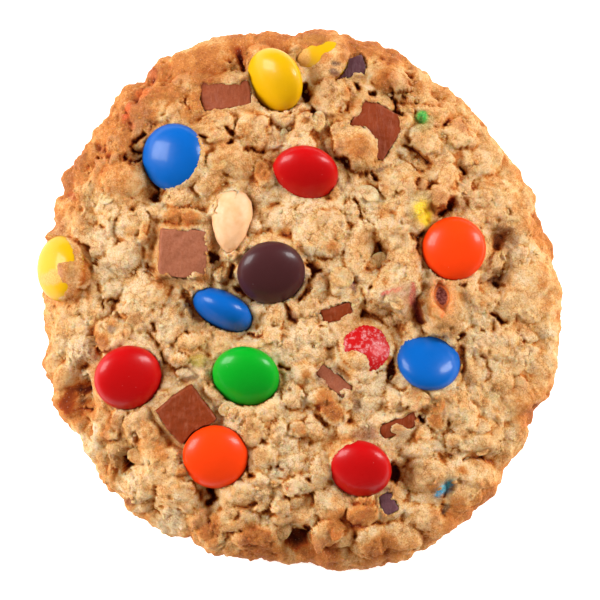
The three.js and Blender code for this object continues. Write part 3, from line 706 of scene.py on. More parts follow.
def crags(bare):
    """The skin's run with all its relief but the toppings, where oats lie, and how strongly each crevice is
    darkened as painted shade.
    """
    at = skin.at(bare)
    flat = at[:, :2]
    upward = ease(0.0, 0.5, skin.rays[:, 2])
    rough = 1 - 0.80 * calm_share(at)
    bend = shifts(at, 2.2, (31, 32, 33))
    rim = ease(0.7, 0.2, skin.rays[:, 2])
    turn = np.arctan2(flat[:, 1], flat[:, 0])
    sideways = ease(0.95, 0.3, skin.rays[:, 2]) * ease(-0.5, 0.0, skin.rays[:, 2])
    for direction, spread, swell in SWELLS:
        off = np.abs((turn - math.radians(direction) + math.pi) % (2 * math.pi) - math.pi)
        bare = bare + swell * sideways * ease(math.radians(spread), math.radians(spread * 0.2), off)
    placed = placed_lumps(at)
    run = bare + PLACED_HEIGHT * placed * upward
    run += 0.6 * layered_noise(at, 6.0, 51, 3)
    strewn = 1 - 0.45 * ease(0.1, 0.6, placed)
    lumps = piled_lumps(at + 0.8 * bend, LUMP_SIZE, 11)
    run += 0.43 * LUMP_SIZE * (0.26 + 0.74 * rough) * strewn * lumps
    patchy = 0.62 + 0.5 * smooth_noise(at, 5.0, 35)
    run += 0.36 * CRUMB_SIZE * (0.08 + 0.92 * rough) * patchy * piled_lumps(at + 0.3 * bend, CRUMB_SIZE, 19)
    run += 0.30 * GRAIN_SIZE * (0.25 + 0.75 * rough) * (1 - 0.3 * rim) * piled_lumps(at, GRAIN_SIZE, 27)
    run += 0.11 * (1 - 0.4 * rim) * smooth_noise(at, 0.46, 29)
    run += 0.55 * rim * (piled_lumps(at + 0.4 * bend, RIM_LUMP_SIZE, 33) + 0.2)
    random = np.random.default_rng(FLAKE_SEED)
    flake = add_flakes(run, skin.at(run), random)
    run = add_pits(run, at, np.random.default_rng(PIT_SEED))
    winding = flat + 1.1 * shifts(at, 2.2, (71, 82), 3)
    swell = 1 + 0.75 * layered_noise(at, 1.8, 91, 3)
    closed = ease(0.35, -0.25, layered_noise(at, 2.8, 95, 2))
    # How strongly each place is darkened as painted shade in a crevice, deeper ones darker.
    dark = np.zeros(skin.size)
    for crevice in CREVICES:
        width, depth, *places = (value / 10 for value in crevice)
        line = [spot(*place) for place in zip(places[::2], places[1::2])]
        far = np.min([segment_distance(winding, a, b) for a, b in zip(line, line[1:])], axis=0)
        half = 0.5 * width * swell
        length = sum(math.dist(a, b) for a, b in zip(line, line[1:]))
        drawn = min(1.0, max(0.0, (length / width - 2.0) / 3.0))  # a long thin one closes here and there
        deep = ease(half + 0.35, half - 0.45, far) ** 1.4
        deep = deep * (1 - 0.35 * drawn) * (1 - 0.8 * drawn * closed)
        run -= 0.8 * depth * deep * ease(0.4, 0.9, skin.rays[:, 2])
        dark = np.maximum(dark, deep * min(1, depth / 3.4))
    return run, flake, dark


SINK = 0.3  # dough under a topping stays this far below it
WALL_SLOPE = 4.0  # of the dough's edge where it ends on a topping
COLLAR_SLOPE = 0.7  # of the dough that is drawn up round a topping
COLLAR_REACH = 2.6


def outside_oval(here, x, y, length, width, turn):
    """How far outside an oval each place lies, about in millimetres, negative inside."""
    return (np.hypot(*in_oval(here, x, y, length, width, turn)) - 1) * min(length, width)


def slit_edge(here):
    """How far outside the open slit of the covered button each place lies, about in millimetres."""
    u, v = in_oval(here, *spot(*SLIT_PLACE), SLIT_SIZE[1] / 2, SLIT_SIZE[0] / 2, SLIT_TURN)
    return (np.abs(u) ** 1.8 + np.abs(v) ** 1.4 - 1) * SLIT_SIZE[0] / 2.6


def set_toppings(run, dark):
    """Sinks the dough under each topping, and laps it over with a ragged edge where it should."""
    run = run.copy()
    at = skin.at(run)
    lid = np.full(skin.size, -FAR)  # dough that covers a button isn't lowered for its neighbours
    for name, (near, top, under, outside) in meetings(run).items():
        here = at[near]
        block = not name.startswith("button")
        wander = layered_noise(here, 2.6, 101, 3)
        ragged = 0.7 * wander + 0.5 * layered_noise(here, 1.0, 105, 2) if block else 0.38 * wander
        edge = outside
        if name == "button_orange_covered":
            edge = slit_edge(here)
            ragged = ragged * 0.3
        elif name in LAPS:
            direction, distance = math.radians(LAPS[name][0]), LAPS[name][1]
            push = np.array([math.cos(direction), math.sin(direction), 0])
            moved = skin.starts[near] + push * distance
            edge = np.maximum(outside, toppings[name].cross(moved, skin.rays[near])[2])
        if name in WINDOWS:
            windows = [outside_oval(here, *oval) for oval in worked(WINDOWS[name])]
            edge = np.maximum(edge, np.min(windows, axis=0))
        for oval in worked(COVERS.get(name, ())):
            edge = np.maximum(edge, -outside_oval(here, *oval))
        snug = np.clip(0.35 + 0.5 * smooth_noise(here, 5.0, 107), 0, 1)
        lapped = edge - outside
        climb = ease(-0.6, 0.2, lapped) if block else np.maximum(ease(0.1, 0.9, lapped), snug)
        if name != "button_orange_covered":
            climb = climb * (1 - ease(0.1, 0.5, dark[near]))
        proud = PROUD.get(name, 0.0)
        if proud > 1:
            ragged = 0.4 * ragged - 0.3
        edge = edge + ragged - (0.05 if block else 0.16)
        natural = run[near] - proud * ease(2.4, 0.4, outside)
        film = 0.12 + 0.16 * ease(0, 0.5, edge) + 0.5 * ease(0.2, 1.8, edge)
        film = film + 0.7 * ease(0.5, 3.0, edge) * wander
        over = np.maximum(natural, top + film)
        wall = top + WALL_SLOPE * edge
        low = np.minimum(natural, under - SINK)
        steep = ease(COLLAR_REACH, 0.0, outside) * (skin.rays[near][:, 2] > 0.5)
        rise = top + 0.25 - proud - COLLAR_SLOPE * np.maximum(outside, 0) - natural
        collar = natural + np.maximum(rise, 0) * climb * steep
        bare = np.maximum(np.minimum(np.minimum(wall, top - 0.05), collar), low)
        inside = np.where(edge < -0.5, low, np.where(edge < 0, bare, np.minimum(wall, over)))
        run[near] = np.maximum(np.where(outside < 0, inside, collar), lid[near])
        if name in WINDOWS:
            closed = (edge > 0.2) & (outside < 0.8)
            lid[near[closed]] = top[closed] + 0.15
    return run


# ---- Colours painted on the dough: stains of candy colour, painted shade in a few holes, browned spots, and paler ones, partly painted light

SMEAR = (0.50, 0.22, 0.07)  # dough smeared with milk chocolate, round the chunks
RUST = (0.62, 0.17, 0.05)
PLUM = (0.20, 0.06, 0.07)
# Small stains, and near-black painted shade in a few holes and cracks: (x, y, radius, stretch, turn,
# colour, strength).
STAINS_AND_HOLE_SHADE = [
    (24.6, 35.3, 2, 1.5, 30, (0.34, 0.42, 0.09), 0.45),
    (24.2, 36.4, 1.55, 1.05, 0, (0.04, 0.48, 0.08), 1),
    (23.8, 36.3, 0.35, 1, 0, (0.01, 0.1, 0.02), 0.9),
    (18.6, 41.2, 2.6, 1.2, 40, (0.4, 0.38, 0.1), 0.3),
    (24, 17.6, 3, 1.5, 100, (0.94, 0.7, 0.24), 0.6),
    (24.3, 17.3, 1.9, 1.7, 105, (0.95, 0.68, 0.02), 1),
    (28.8, -37.5, 1.9, 1.9, 42, (0.3, 0.48, 0.48), 0.45),
    (28.9, -37.4, 1, 2.6, 44, (0.1, 0.56, 0.78), 1),
    (27.7, -38.6, 0.7, 1.8, 40, (0.03, 0.42, 0.74), 0.9),
    (-20.3, -12, 1.7, 1.4, 10, (0.62, 0.5, 0.04), 0.7),
    (-33, 37, 3, 1.4, 55, (0.86, 0.3, 0.12), 0.5),
    (-31.5, 41.3, 1.2, 1.8, 20, (0.86, 0.2, 0.04), 0.8),
    (-34.3, 37.4, 0.9, 2.6, 72, (0.8, 0.12, 0.03), 0.9),
    (-29.6, 45, 1, 1.4, 40, RUST, 0.9),
    (-33.6, 34.7, 0.8, 1.2, 60, RUST, 0.9),
    (-40, 30.2, 0.8, 1.6, 130, RUST, 0.8),
    (-45.5, 21, 1.1, 1.4, 100, RUST, 0.8),
    (-44.3, 28, 1.6, 1.6, 60, (0.84, 0.3, 0.12), 0.45),
    (-46.6, 23.4, 1.4, 2, 65, (0.82, 0.28, 0.12), 0.45),
    (-48.5, 14.5, 1.8, 1.4, 80, (0.78, 0.22, 0.08), 0.5),
    (17, 1.4, 0.6, 2.2, 10, (0.76, 0.07, 0.07), 0.85),
    (19, 2.1, 0.55, 2.8, 15, (0.76, 0.07, 0.07), 0.85),
    (20.6, 0.6, 2.4, 1.5, 95, (0.84, 0.4, 0.24), 0.55),
    (22.2, 3, 0.5, 1.8, 120, (0.74, 0.05, 0.06), 0.9),
    (22.4, 0.6, 0.95, 2.8, 100, (0.78, 0.15, 0.12), 0.9),
    # Red candy colour darkened as painted shade in a crevice:
    (23.6, -2.7, 1.1, 1.8, 100, (0.32, 0.02, 0.02), 0.85),
    (16.4, 22.7, 0.35, 1.2, 0, (0.72, 0.04, 0.02), 0.9),
    (-2.7, -37.2, 0.35, 1.6, 100, (0.95, 0.18, 0.02), 0.9),
    (28.4, -0.4, 4.6, 1.45, 95, (0.84, 0.38, 0.1), 0.7),
    (28, 0.8, 2.7, 1.7, 100, (0.92, 0.3, 0.06), 0.85),
    (28.1, -2.8, 0.5, 2.4, 92, (0.95, 0.2, 0.02), 0.9),
    (-49.4, 5.2, 2.6, 1.3, 100, (0.78, 0.4, 0.26), 0.6),
    (-45.6, 8, 1.2, 3, 95, (0.7, 0.34, 0.07), 0.6),
    (-0.8, 48.4, 1.8, 1.3, 60, (0.62, 0.28, 0.04), 0.8),
    (2.4, 52.2, 1.2, 2.4, 0, (0.66, 0.28, 0.03), 0.6),
    (5.4, 50.6, 0.8, 1.6, -10, (0.9, 0.62, 0.03), 0.8),
    (7.3, 47, 0.75, 1.4, 25, (0.1, 0.025, 0.035), 0.85),
    (6.9, 45.1, 0.75, 1.7, -20, (0.14, 0.045, 0.06), 0.8),
    # Painted shade: near black in a hole, then dark red-brown in a crack.
    (-34.3, -32, 0.9, 1.3, 100, (0.01, 0.03, 0.02), 0.9),
    (-34, -40.5, 0.8, 1.8, -20, (0.24, 0.035, 0.015), 0.9),
    (-37.3, -5.7, 0.8, 1.2, 0, (0.34, 0.3, 0.3), 0.6),
    # Painted shade, near black, in a crevice's end, a hole and a crack:
    (28.8, -41.6, 0.7, 1.6, 60, (0.03, 0.05, 0.04), 0.8),
    (-0.5, -47.8, 1.1, 1.3, 170, (0.05, 0.012, 0.004), 0.85),
    (-43.4, -19, 0.7, 2.6, 92, (0.06, 0.014, 0.005), 0.8),
    (6, -15.6, 2, 1.7, -20, (0.42, 0.17, 0.12), 0.7),
    (3.8, -14.8, 0.8, 1.4, -20, PLUM, 0.7),
    (10.9, -20.4, 0.9, 2.2, -65, (0.5, 0.24, 0.14), 0.7),
    (10.7, 2.6, 0.6, 2.6, 100, PLUM, 0.8),
    (12.8, -26.3, 1.8, 1.6, 10, (0.42, 0.13, 0.06), 0.75),
    (17.4, -37.8, 0.6, 1.4, 60, PLUM, 0.8),
    (18, -41, 0.6, 1.6, 120, PLUM, 0.8),
    (-1.2, -3, 0.7, 1.8, 110, PLUM, 0.7),
    (16, 26, 0.7, 1.6, 30, PLUM, 0.7),
    (36.9, -11.6, 0.5, 2.4, 110, RUST, 0.7),
    (37.2, -14.6, 0.5, 3, 85, RUST, 0.7),
    (40.6, 12.8, 2.4, 1.3, 15, (0.5, 0.27, 0.14), 0.45),
    (39, 4.4, 1.8, 1.5, 10, (0.5, 0.27, 0.14), 0.45),
    (47, -22.5, 0.9, 2.4, 58, RUST, 0.7),
    (-22.4, -14.8, 1.5, 1.4, -20, (0.86, 0.66, 0.42), 0.7),
    (-4, -33.6, 1.6, 1.4, 20, (0.56, 0.34, 0.26), 0.35),
    (34.4, 8.6, 1, 1.4, 0, (0.55, 0.38, 0.3), 0.3),
]

# Places that the oven browned more: (x, y, radius, strength).
BROWNED = [
    (-7.2, 25.6, 2.6, 1), (-2.5, 13.2, 1.6, 0.9), (1.2, -14.8, 1.7, 0.8), (5, -18.8, 3, 1),
    (7, -22.3, 2.6, 1), (-9.5, -47.6, 4.2, 1), (-18, -46.3, 2.8, 0.9), (12.6, -42.6, 4.2, 1),
    (8.6, -44.6, 4.6, 0.8), (-39, -27.5, 2.2, 0.7), (27, -24, 2, 0.9), (32.5, -33.8, 1.4, 0.9),
    (11.5, 30.8, 3.6, 0.6), (-39.5, -8.4, 2.2, 0.7), (17, 44, 3.4, 0.8), (-18, 46.4, 5.4, 1),
    (-23.5, -34.4, 1.8, 0.8), (31.8, 29, 1.2, 0.8), (0, -25.8, 2, 0.5), (3, 52.4, 5, 0.8), (-6, 52, 5, 0.8),
    (12, 51, 5, 0.9), (18, 49, 4, 0.8), (-12, 50, 4.5, 0.9), (-27, 44, 6, 0.6), (-33, 38, 8, 0.45),
    (-20, 36, 8, 0.3), (-38, 30, 8, 0.35), (-30, -38, 7, 0.3), (-20, -44, 5, 0.5), (-8, -51, 6, 0.9),
    (4, -52, 6, 0.9), (16, -50, 5, 0.7), (-39, -32, 4, 0.3), (-44, -22, 4, 0.5), (-28, -28, 7, 0.3),
    (23, -18.4, 2.6, 0.5), (28.4, 18.6, 3, 0.4), (-23, 17.2, 3, 0.4), (47, 14, 4, 0.5), (46, -24, 4, 0.5),
    (-13, 27, 7, 0.25), (-35, 24, 7, 0.25), (-22, 43, 8, 0.3), (-31, 32, 8, 0.25), (4.8, -21, 2.4, 0.8),
    (-30.6, 9, 1.6, 0.5), (-24.6, 16.2, 2.6, 0.8), (-21.4, 16, 2.4, 0.8), (-19.4, 4.4, 1.8, 0.6),
    (-27.6, 3.6, 1.8, 0.5), (-46, 26, 5, 0.5), (38, -40, 5, 0.4), (32, -44, 5, 0.5),
]

# Places of the rim that are paler, the same way: on the lower left this is painted light on dough that lies
# in shade, elsewhere a paler tone.
PALER_AND_LIT = [
    (-50, -6, 9, 0.04), (-3, -36, 7, 0.16), (-34, 3, 8, 0.12), (44, -27, 6, 0.18), (-42, -30, 8, 0.4),
    (-33, -39, 7, 0.35), (-26, -45, 5, 0.35), (50, -11, 9, 0.24), (40, 32, 8, 0.05), (-46, -14, 6, 0.2),
]

STAINED_ABOVE = 3  # stains lie on the top and the rim, above this height


def stain_and_shade_dough(at, run):
    """A colour for each vertex, and in its fourth part how strongly it shows."""
    tint = np.zeros((len(at), 4))
    for name, (near, _, _, outside) in meetings(run).items():
        if "chunk" in name:
            patchy = ease(-0.35, 0.45, layered_noise(at[near], 1.8, 125, 3))
            share = 0.6 * ease(1.5, 0.1, outside) * patchy
            stronger = share > tint[near, 3]
            tint[near[stronger], :3] = SMEAR
            tint[near[stronger], 3] = share[stronger]
    wander = at[:, :2] + 0.5 * shifts(at, 1.3, (121, 126), 2)
    for x, y, radius, stretch, turn, colour, strength in worked(STAINS_AND_HOLE_SHADE):
        far = np.hypot(*in_oval(wander, x, y, radius * stretch, radius, turn))
        share = strength * ease(1.25, 0.55, far) * (at[:, 2] > STAINED_ABOVE)
        tint[:, :3] += (np.array(colour) - tint[:, :3]) * share[:, None]
        tint[:, 3] = np.maximum(tint[:, 3], share)
    return tint


EVEN_BROWN = 0.45  # browning past this is squeezed into a last stretch
LAST_BROWN = 0.42


def browning(at, run, bare):
    """How far the oven took each place, from 0, pale, to 1, dark golden brown."""
    flat = at[:, :2]
    share = np.linalg.norm(flat, axis=1) / radius_at(np.arctan2(flat[:, 1], flat[:, 0]))
    outer, rim = ease(0.45, 0.9, share), ease(0.78, 1.0, share)
    high = ease(0.3, 2.0, run - bare)
    cloud = layered_noise(at, 9.0, 131, 4)
    spots = ease(0.15, 0.75, layered_noise(at, 3.4, 135, 3))
    wall = ease(0.45, -0.2, skin.rays[:, 2])
    brown = 0.13 + 0.22 * wall + 0.09 * outer + 0.20 * rim**2
    brown = brown + 0.12 * high + 0.24 * cloud + 0.34 * spots
    wander = layered_noise(at, 3.0, 141, 3)
    for x, y, radius, strength in worked(BROWNED):
        far = np.hypot(flat[:, 0] - x, flat[:, 1] - y) + 0.5 * radius**0.7 * wander
        brown += 0.75 * strength * ease(radius, radius * 0.3, far)
    # Painted light on the lower-left rim, and a paler tone elsewhere.
    for x, y, radius, strength in worked(PALER_AND_LIT):
        far = np.hypot(flat[:, 0] - x, flat[:, 1] - y) + wander
        brown -= strength * ease(radius, radius * 0.3, far)
    over = np.maximum(brown - EVEN_BROWN, 0)
    return np.clip(np.minimum(brown, EVEN_BROWN) + LAST_BROWN * np.tanh(over / LAST_BROWN), 0, 1)


# ---- Materials

class Nodes:
    """Builds a material's node tree, one call for each node."""

    def __init__(self, name):
        self.material = bpy.data.materials.new(name)
        self.material.use_nodes = True
        self.tree = self.material.node_tree
        self.tree.nodes.clear()

    def add(self, kind, values=None, **settings):
        node = self.tree.nodes.new("ShaderNode" + kind)
        for key, value in settings.items():
            setattr(node, key, value)
        for key, value in (values or {}).items():
            if isinstance(value, bpy.types.NodeSocket):
                self.tree.links.new(value, node.inputs[key])
            else:
                node.inputs[key].default_value = value
        return node

    def places(self, stretch=(1, 1, 1)):
        """The piece's own places in millimetres."""
        own = self.add("TexCoord").outputs["Object"]
        scale = tuple(s / MM for s in stretch)
        return self.add("Mapping", {"Vector": own, "Scale": scale}).outputs["Vector"]

    def noise(self, where, size, detail=4.0, rough=0.55, distort=0.0):
        values = {"Vector": where, "Scale": 1 / size, "Detail": detail, "Roughness": rough}
        return self.add("TexNoise", values | {"Distortion": distort}).outputs["Fac"]

    def cells(self, where, size, feature="F1"):
        """How far each place lies from the middle, or the edge, of a cell."""
        values = {"Vector": where, "Scale": 1 / size}
        return self.add("TexVoronoi", values, feature=feature).outputs["Distance"]

    def warp(self, where, size, reach):
        """A shift of up to reach millimetres each way."""
        values = {"Vector": where, "Scale": 1 / size, "Detail": 2.0}
        swirl = self.add("TexNoise", values).outputs["Color"]
        centred = self.vector("SUBTRACT", swirl, (0.5, 0.5, 0.5))
        return self.vector("MULTIPLY", centred, (2 * reach,) * 3)

    def vector(self, operation, a, b):
        return self.add("VectorMath", {0: a, 1: b}, operation=operation).outputs[0]

    def painted(self, name):
        return self.add("Attribute", attribute_name=name)

    def value(self, name):
        return self.painted(name).outputs["Fac"]

    def sum(self, operation, a, b, clamp=False):
        return self.add("Math", {0: a, 1: b}, operation=operation, use_clamp=clamp).outputs[0]

    def span(self, x, low, high, to_low=0.0, to_high=1.0):
        values = {"Value": x, "From Min": low, "From Max": high, "To Min": to_low, "To Max": to_high}
        return self.add("MapRange", values).outputs["Result"]

    def mix(self, share, a, b, blend="MIX"):
        """A colour between two, or their product."""
        node = self.add("Mix", data_type="RGBA", blend_type=blend)
        for socket, value in zip((node.inputs[0], node.inputs[6], node.inputs[7]), (share, a, b)):
            if isinstance(value, bpy.types.NodeSocket):
                self.tree.links.new(value, socket)
            else:
                socket.default_value = value if isinstance(value, float) else (*value, 1)
        return node.outputs[2]

    def ramp(self, x, stops):
        node = self.add("ValToRGB", {"Fac": x})
        parts = node.color_ramp.elements
        while len(parts) < len(stops):
            parts.new(0.5)
        for part, (place, colour) in zip(parts, stops):
            part.position = place
            part.color = (*colour, 1)
        return node.outputs["Color"]

    def bump(self, height, distance, strength=1.0, normal=None):
        """A normal bent by a height of up to distance millimetres."""
        values = {"Height": height, "Distance": distance * MM, "Strength": strength}
        if normal is not None:
            values["Normal"] = normal
        return self.add("Bump", values).outputs["Normal"]

    def finish(self, **values):
        shader = self.add("BsdfPrincipled", {k.replace("_", " "): v for k, v in values.items()})
        output = self.add("OutputMaterial")
        self.tree.links.new(shader.outputs["BSDF"], output.inputs["Surface"])
        return self.material


PALE = (0.82, 0.635, 0.395)
GOLDEN = (0.77, 0.47, 0.200)
TOASTED = (0.64, 0.245, 0.055)
BROWN = (0.42, 0.115, 0.022)
# Painted shade for the dough's hollows, from shallow to deepest, in the next three colours.
SHADED = (0.95, 0.76, 0.50)  # shallow hollows, which stay warm
DEEPER_SHADE = (0.76, 0.33, 0.080)
HOLLOW_SHADE = (0.21, 0.034, 0.004)
OAT = (0.84, 0.60, 0.33)
# Painted shade in pores and fine creases:
PORE_SHADE = (0.46, 0.15, 0.025)
CREASE_SHADE = (0.55, 0.22, 0.045)
SPECKS_AND_SHADE = (0.70, 0.60, 0.50)
SUGAR = (0.95, 0.78, 0.55)
WHITE = (1.0, 1.0, 1.0)


def dough_material(name="oat_dough", flakes=False):
    """Baked oat dough, with painted shade in its hollows. Loose flakes and crumbs have no painted hollow
    shade, stains or oats on them.
    """
    n = Nodes(name)
    where = n.places()
    cloud = n.noise(where, 2.6, 5.0, 0.6)
    grain = n.noise(where, 0.42, 3.0, 0.6)
    dust = n.noise(where, 0.27, 2.0, 0.6)
    tone = n.sum("ADD", n.value("brown"), n.span(cloud, 0.3, 0.7, -0.22, 0.22))
    tone = n.sum("ADD", tone, n.span(grain, 0.3, 0.7, -0.12, 0.12))
    tone = n.sum("ADD", tone, n.span(dust, 0.3, 0.7, -0.08, 0.08), clamp=True)
    base = n.ramp(tone, [(0.0, PALE), (0.28, GOLDEN), (0.62, TOASTED), (1.0, BROWN)])
    if not flakes:
        base = n.mix(n.sum("MULTIPLY", n.value("flake"), 0.45), base, OAT)
    # Painted shade: the small pores and the fine creases are drawn darker, as well as dented by the bumps
    # below.
    cell = n.cells(where, 0.8)
    pores = n.sum("MULTIPLY", n.span(cell, 0.30, 0.12), n.span(grain, 0.44, 0.56))
    base = n.mix(n.sum("MULTIPLY", pores, 0.6), base, PORE_SHADE)
    winding = n.vector("ADD", where, n.warp(where, 0.9, 0.5))
    joint = n.cells(winding, 1.5, "DISTANCE_TO_EDGE")
    creases = n.sum("MULTIPLY", n.span(joint, 0.075, 0.015), n.span(cloud, 0.42, 0.58))
    base = n.mix(n.sum("MULTIPLY", creases, 0.65), base, CREASE_SHADE)
    if not flakes:
        # Painted shade: the dough is darkened in its hollows and crevices, the more the deeper they lie.
        depth = n.ramp(n.value("hollow"), [(0.0, WHITE), (0.14, SHADED), (0.45, DEEPER_SHADE), (1.0, HOLLOW_SHADE)])
        base = n.mix(1.0, base, depth, "MULTIPLY")
        # The tint holds stains and the painted shade of a few holes.
        tint = n.painted("tint")
        mottled = n.sum("MULTIPLY", tint.outputs["Alpha"], n.span(grain, 0.25, 0.6, 0.55, 1.0))
        base = n.mix(mottled, base, tint.outputs["Color"])
    # Fine patchy darkening: specks of grain, and painted shade standing in for the shade of fine bumps.
    crumbs = n.noise(where, 0.32, 3.0, 0.7)
    rugged = n.span(n.noise(where, 3.6, 2.0), 0.38, 0.62, 0.35, 1.0)
    base = n.mix(rugged, base, n.ramp(crumbs, [(0.36, SPECKS_AND_SHADE), (0.54, WHITE)]), "MULTIPLY")
    sugar = n.cells(where, 0.62)
    base = n.mix(n.span(sugar, 0.24, 0.14, 0.0, 0.16), base, SUGAR)
    rough = n.noise(where, 0.24, 4.0, 0.75)
    crumbly = n.bump(rough, 0.32, 1.0)
    pocked = n.bump(n.sum("ADD", pores, creases), -0.10, 0.8, crumbly)
    fine = n.bump(cell, -0.10, 0.6, pocked)
    return n.finish(
        Base_Color=base, Roughness=0.72, Normal=fine, Specular_IOR_Level=0.22,
        Subsurface_Weight=0.4, Subsurface_Radius=(1.0, 0.36, 0.10), Subsurface_Scale=1.2 * MM,
    )


SHELL = {
    "yellow": (0.64, 0.350, 0.0005),
    "blue": (0.0002, 0.100, 0.43),
    "red": (0.47, 0.002, 0.003),
    "orange": (0.83, 0.046, 0.002),
    "brown": (0.060, 0.017, 0.019),
    "green": (0.001, 0.34, 0.014),
}
PALE_ORANGE = (0.92, 0.30, 0.09)  # the shell's broken edge round the slit
CORE_DARK, CORE_PALE = (0.14, 0.030, 0.026), (0.36, 0.13, 0.12)  # the chocolate inside it
FILM_DARK, FILM_PALE = (0.58, 0.26, 0.045), (0.74, 0.43, 0.11)  # baked dough left on a shell


def shaded(colour, share, white=0.0):
    return tuple(share * part + white for part in colour)


def shell_material(name, colour, worn=0.0):
    """A candy shell, glossy or, as far as it is worn, rubbed through to white sugar."""
    n = Nodes(name)
    where = n.places()
    cloud = n.noise(where, 4.0, 3.0)
    base = n.mix(n.span(cloud, 0.35, 0.75, 0.0, 0.35), colour, shaded(colour, 0.82))
    specks = n.cells(where, 1.1)
    rare = n.noise(where, 1.9, 2.0)
    chips = n.sum("MULTIPLY", n.span(specks, 0.10, 0.04), n.span(rare, 0.56, 0.62))
    base = n.mix(chips, base, shaded(colour, 0.86, 0.112))
    dust = n.noise(where, 0.35, 3.0, 0.7)
    if worn:
        patch = n.noise(where, 0.9, 4.0, 0.65)
        rubbed = n.sum("MULTIPLY", n.span(patch, 0.50, 0.64), worn)
        base = n.mix(rubbed, base, shaded(colour, 0.8, 0.20))
    inner = n.mix(n.span(n.noise(where, 0.45, 3.0, 0.7), 0.4, 0.6), CORE_DARK, CORE_PALE)
    base = n.mix(n.value("core"), base, inner)
    film = n.value("film")
    crust = n.mix(n.span(dust, 0.3, 0.7), FILM_DARK, FILM_PALE)
    base = n.mix(film, base, crust)
    dents = n.bump(n.noise(where, 1.3, 3.0), 0.05 + 0.2 * worn, 0.5)
    normal = n.bump(dust, 0.012, 0.6, dents)
    roughness = n.span(n.sum("ADD", dust, film), 0.3, 1.2, 0.27 + 0.2 * worn, 0.62)
    return n.finish(
        Base_Color=base, Roughness=roughness, Normal=normal, Specular_IOR_Level=0.15,
        Coat_Weight=0.15, Coat_Roughness=0.12,
    )


MILK = (0.245, 0.036, 0.006), (0.42, 0.15, 0.078)  # a face, and a pale colour for a broken edge, bloom and painted highlight
DARK = (0.10, 0.035, 0.045), (0.22, 0.10, 0.11)
NUT, NUT_CLOUD, NUT_EDGE = (0.85, 0.52, 0.30), (0.74, 0.40, 0.18), (0.66, 0.36, 0.13)


def chocolate_material(name, face, pale):
    n = Nodes(name)
    where = n.places()
    streaks = n.noise(n.places((1.0, 0.25, 0.6)), 0.55, 4.0, 0.6, 0.4)
    cloud = n.noise(where, 3.0, 3.0)
    base = n.mix(n.span(cloud, 0.3, 0.7), face, shaded(face, 0.82))
    base = n.mix(n.value("bloom"), base, shaded(pale, 0.85))
    # Paler along the raised streaks: bloom, and a painted highlight on their ridges.
    base = n.mix(n.span(streaks, 0.5, 0.75, 0.0, 0.35), base, pale)
    base = n.mix(n.value("edge"), base, pale)
    grain = n.noise(where, 0.4, 3.0, 0.7)
    base = n.mix(n.span(grain, 0.34, 0.62, 0.40, 0.0), base, shaded(face, 0.75))
    normal = n.bump(streaks, 0.24, 0.8, n.bump(n.noise(where, 1.4, 4.0), 0.30, 0.7))
    normal = n.bump(grain, 0.05, 0.6, normal)
    roughness = n.span(streaks, 0.3, 0.7, 0.40, 0.58)
    return n.finish(Base_Color=base, Roughness=roughness, Normal=normal, Specular_IOR_Level=0.16)


def nut_material():
    n = Nodes("peanut")
    where = n.places()
    cloud = n.noise(where, 2.4, 4.0)
    base = n.mix(n.span(cloud, 0.35, 0.7), NUT, NUT_CLOUD)
    base = n.mix(n.value("edge"), base, NUT_EDGE)
    veins = n.noise(n.places((1.0, 0.3, 1.0)), 0.8, 3.0)
    normal = n.bump(veins, 0.10, 0.6)
    return n.finish(Base_Color=base, Roughness=0.46, Normal=normal, Specular_IOR_Level=0.4)


# ---- Pieces

def ride_for(piece, node):
    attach(piece, "root")
    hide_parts(node)


def slot_of(node):
    return next(part["material_slot"] for part in frame["record"]["subparts"] if part["node"] == node)


PIT_SIZE = 7.0  # of the underside's shallow hollows
BASE_BROWN = 0.6


def underside(points, count, first):
    """Rings that close the skin underneath, from its edge inwards, with shallow pits."""
    edge = points[-count:]
    rings = round(np.linalg.norm(edge[:, :2], axis=1).mean() / BASE_STEP)
    counts, rows = [count], []
    edge_turn = np.arctan2(edge[:, 1], edge[:, 0]) % (2 * math.pi)
    order = np.argsort(edge_turn)
    edge_reach = np.linalg.norm(edge[order, :2], axis=1)
    for k in range(1, rings + 1):
        share = 1 - k / rings
        ring = max(1, round(count * share * SKIN_STEP / BASE_STEP)) if k > 1 else count // 2
        turn = 2 * math.pi * (np.arange(ring) + 0.5) / ring
        reach = np.interp(turn, edge_turn[order], edge_reach, period=2 * math.pi)
        x, y = np.cos(turn) * reach * share, np.sin(turn) * reach * share
        row = np.stack([x, y, np.zeros(ring)], axis=1)
        row[:, 2] = 0.5 * np.clip(layered_noise(row, PIT_SIZE, 151, 3) - 0.1, 0, 1)
        rows.append(row)
        counts.append(ring)
    return np.concatenate(rows), ring_faces(counts, first - count)


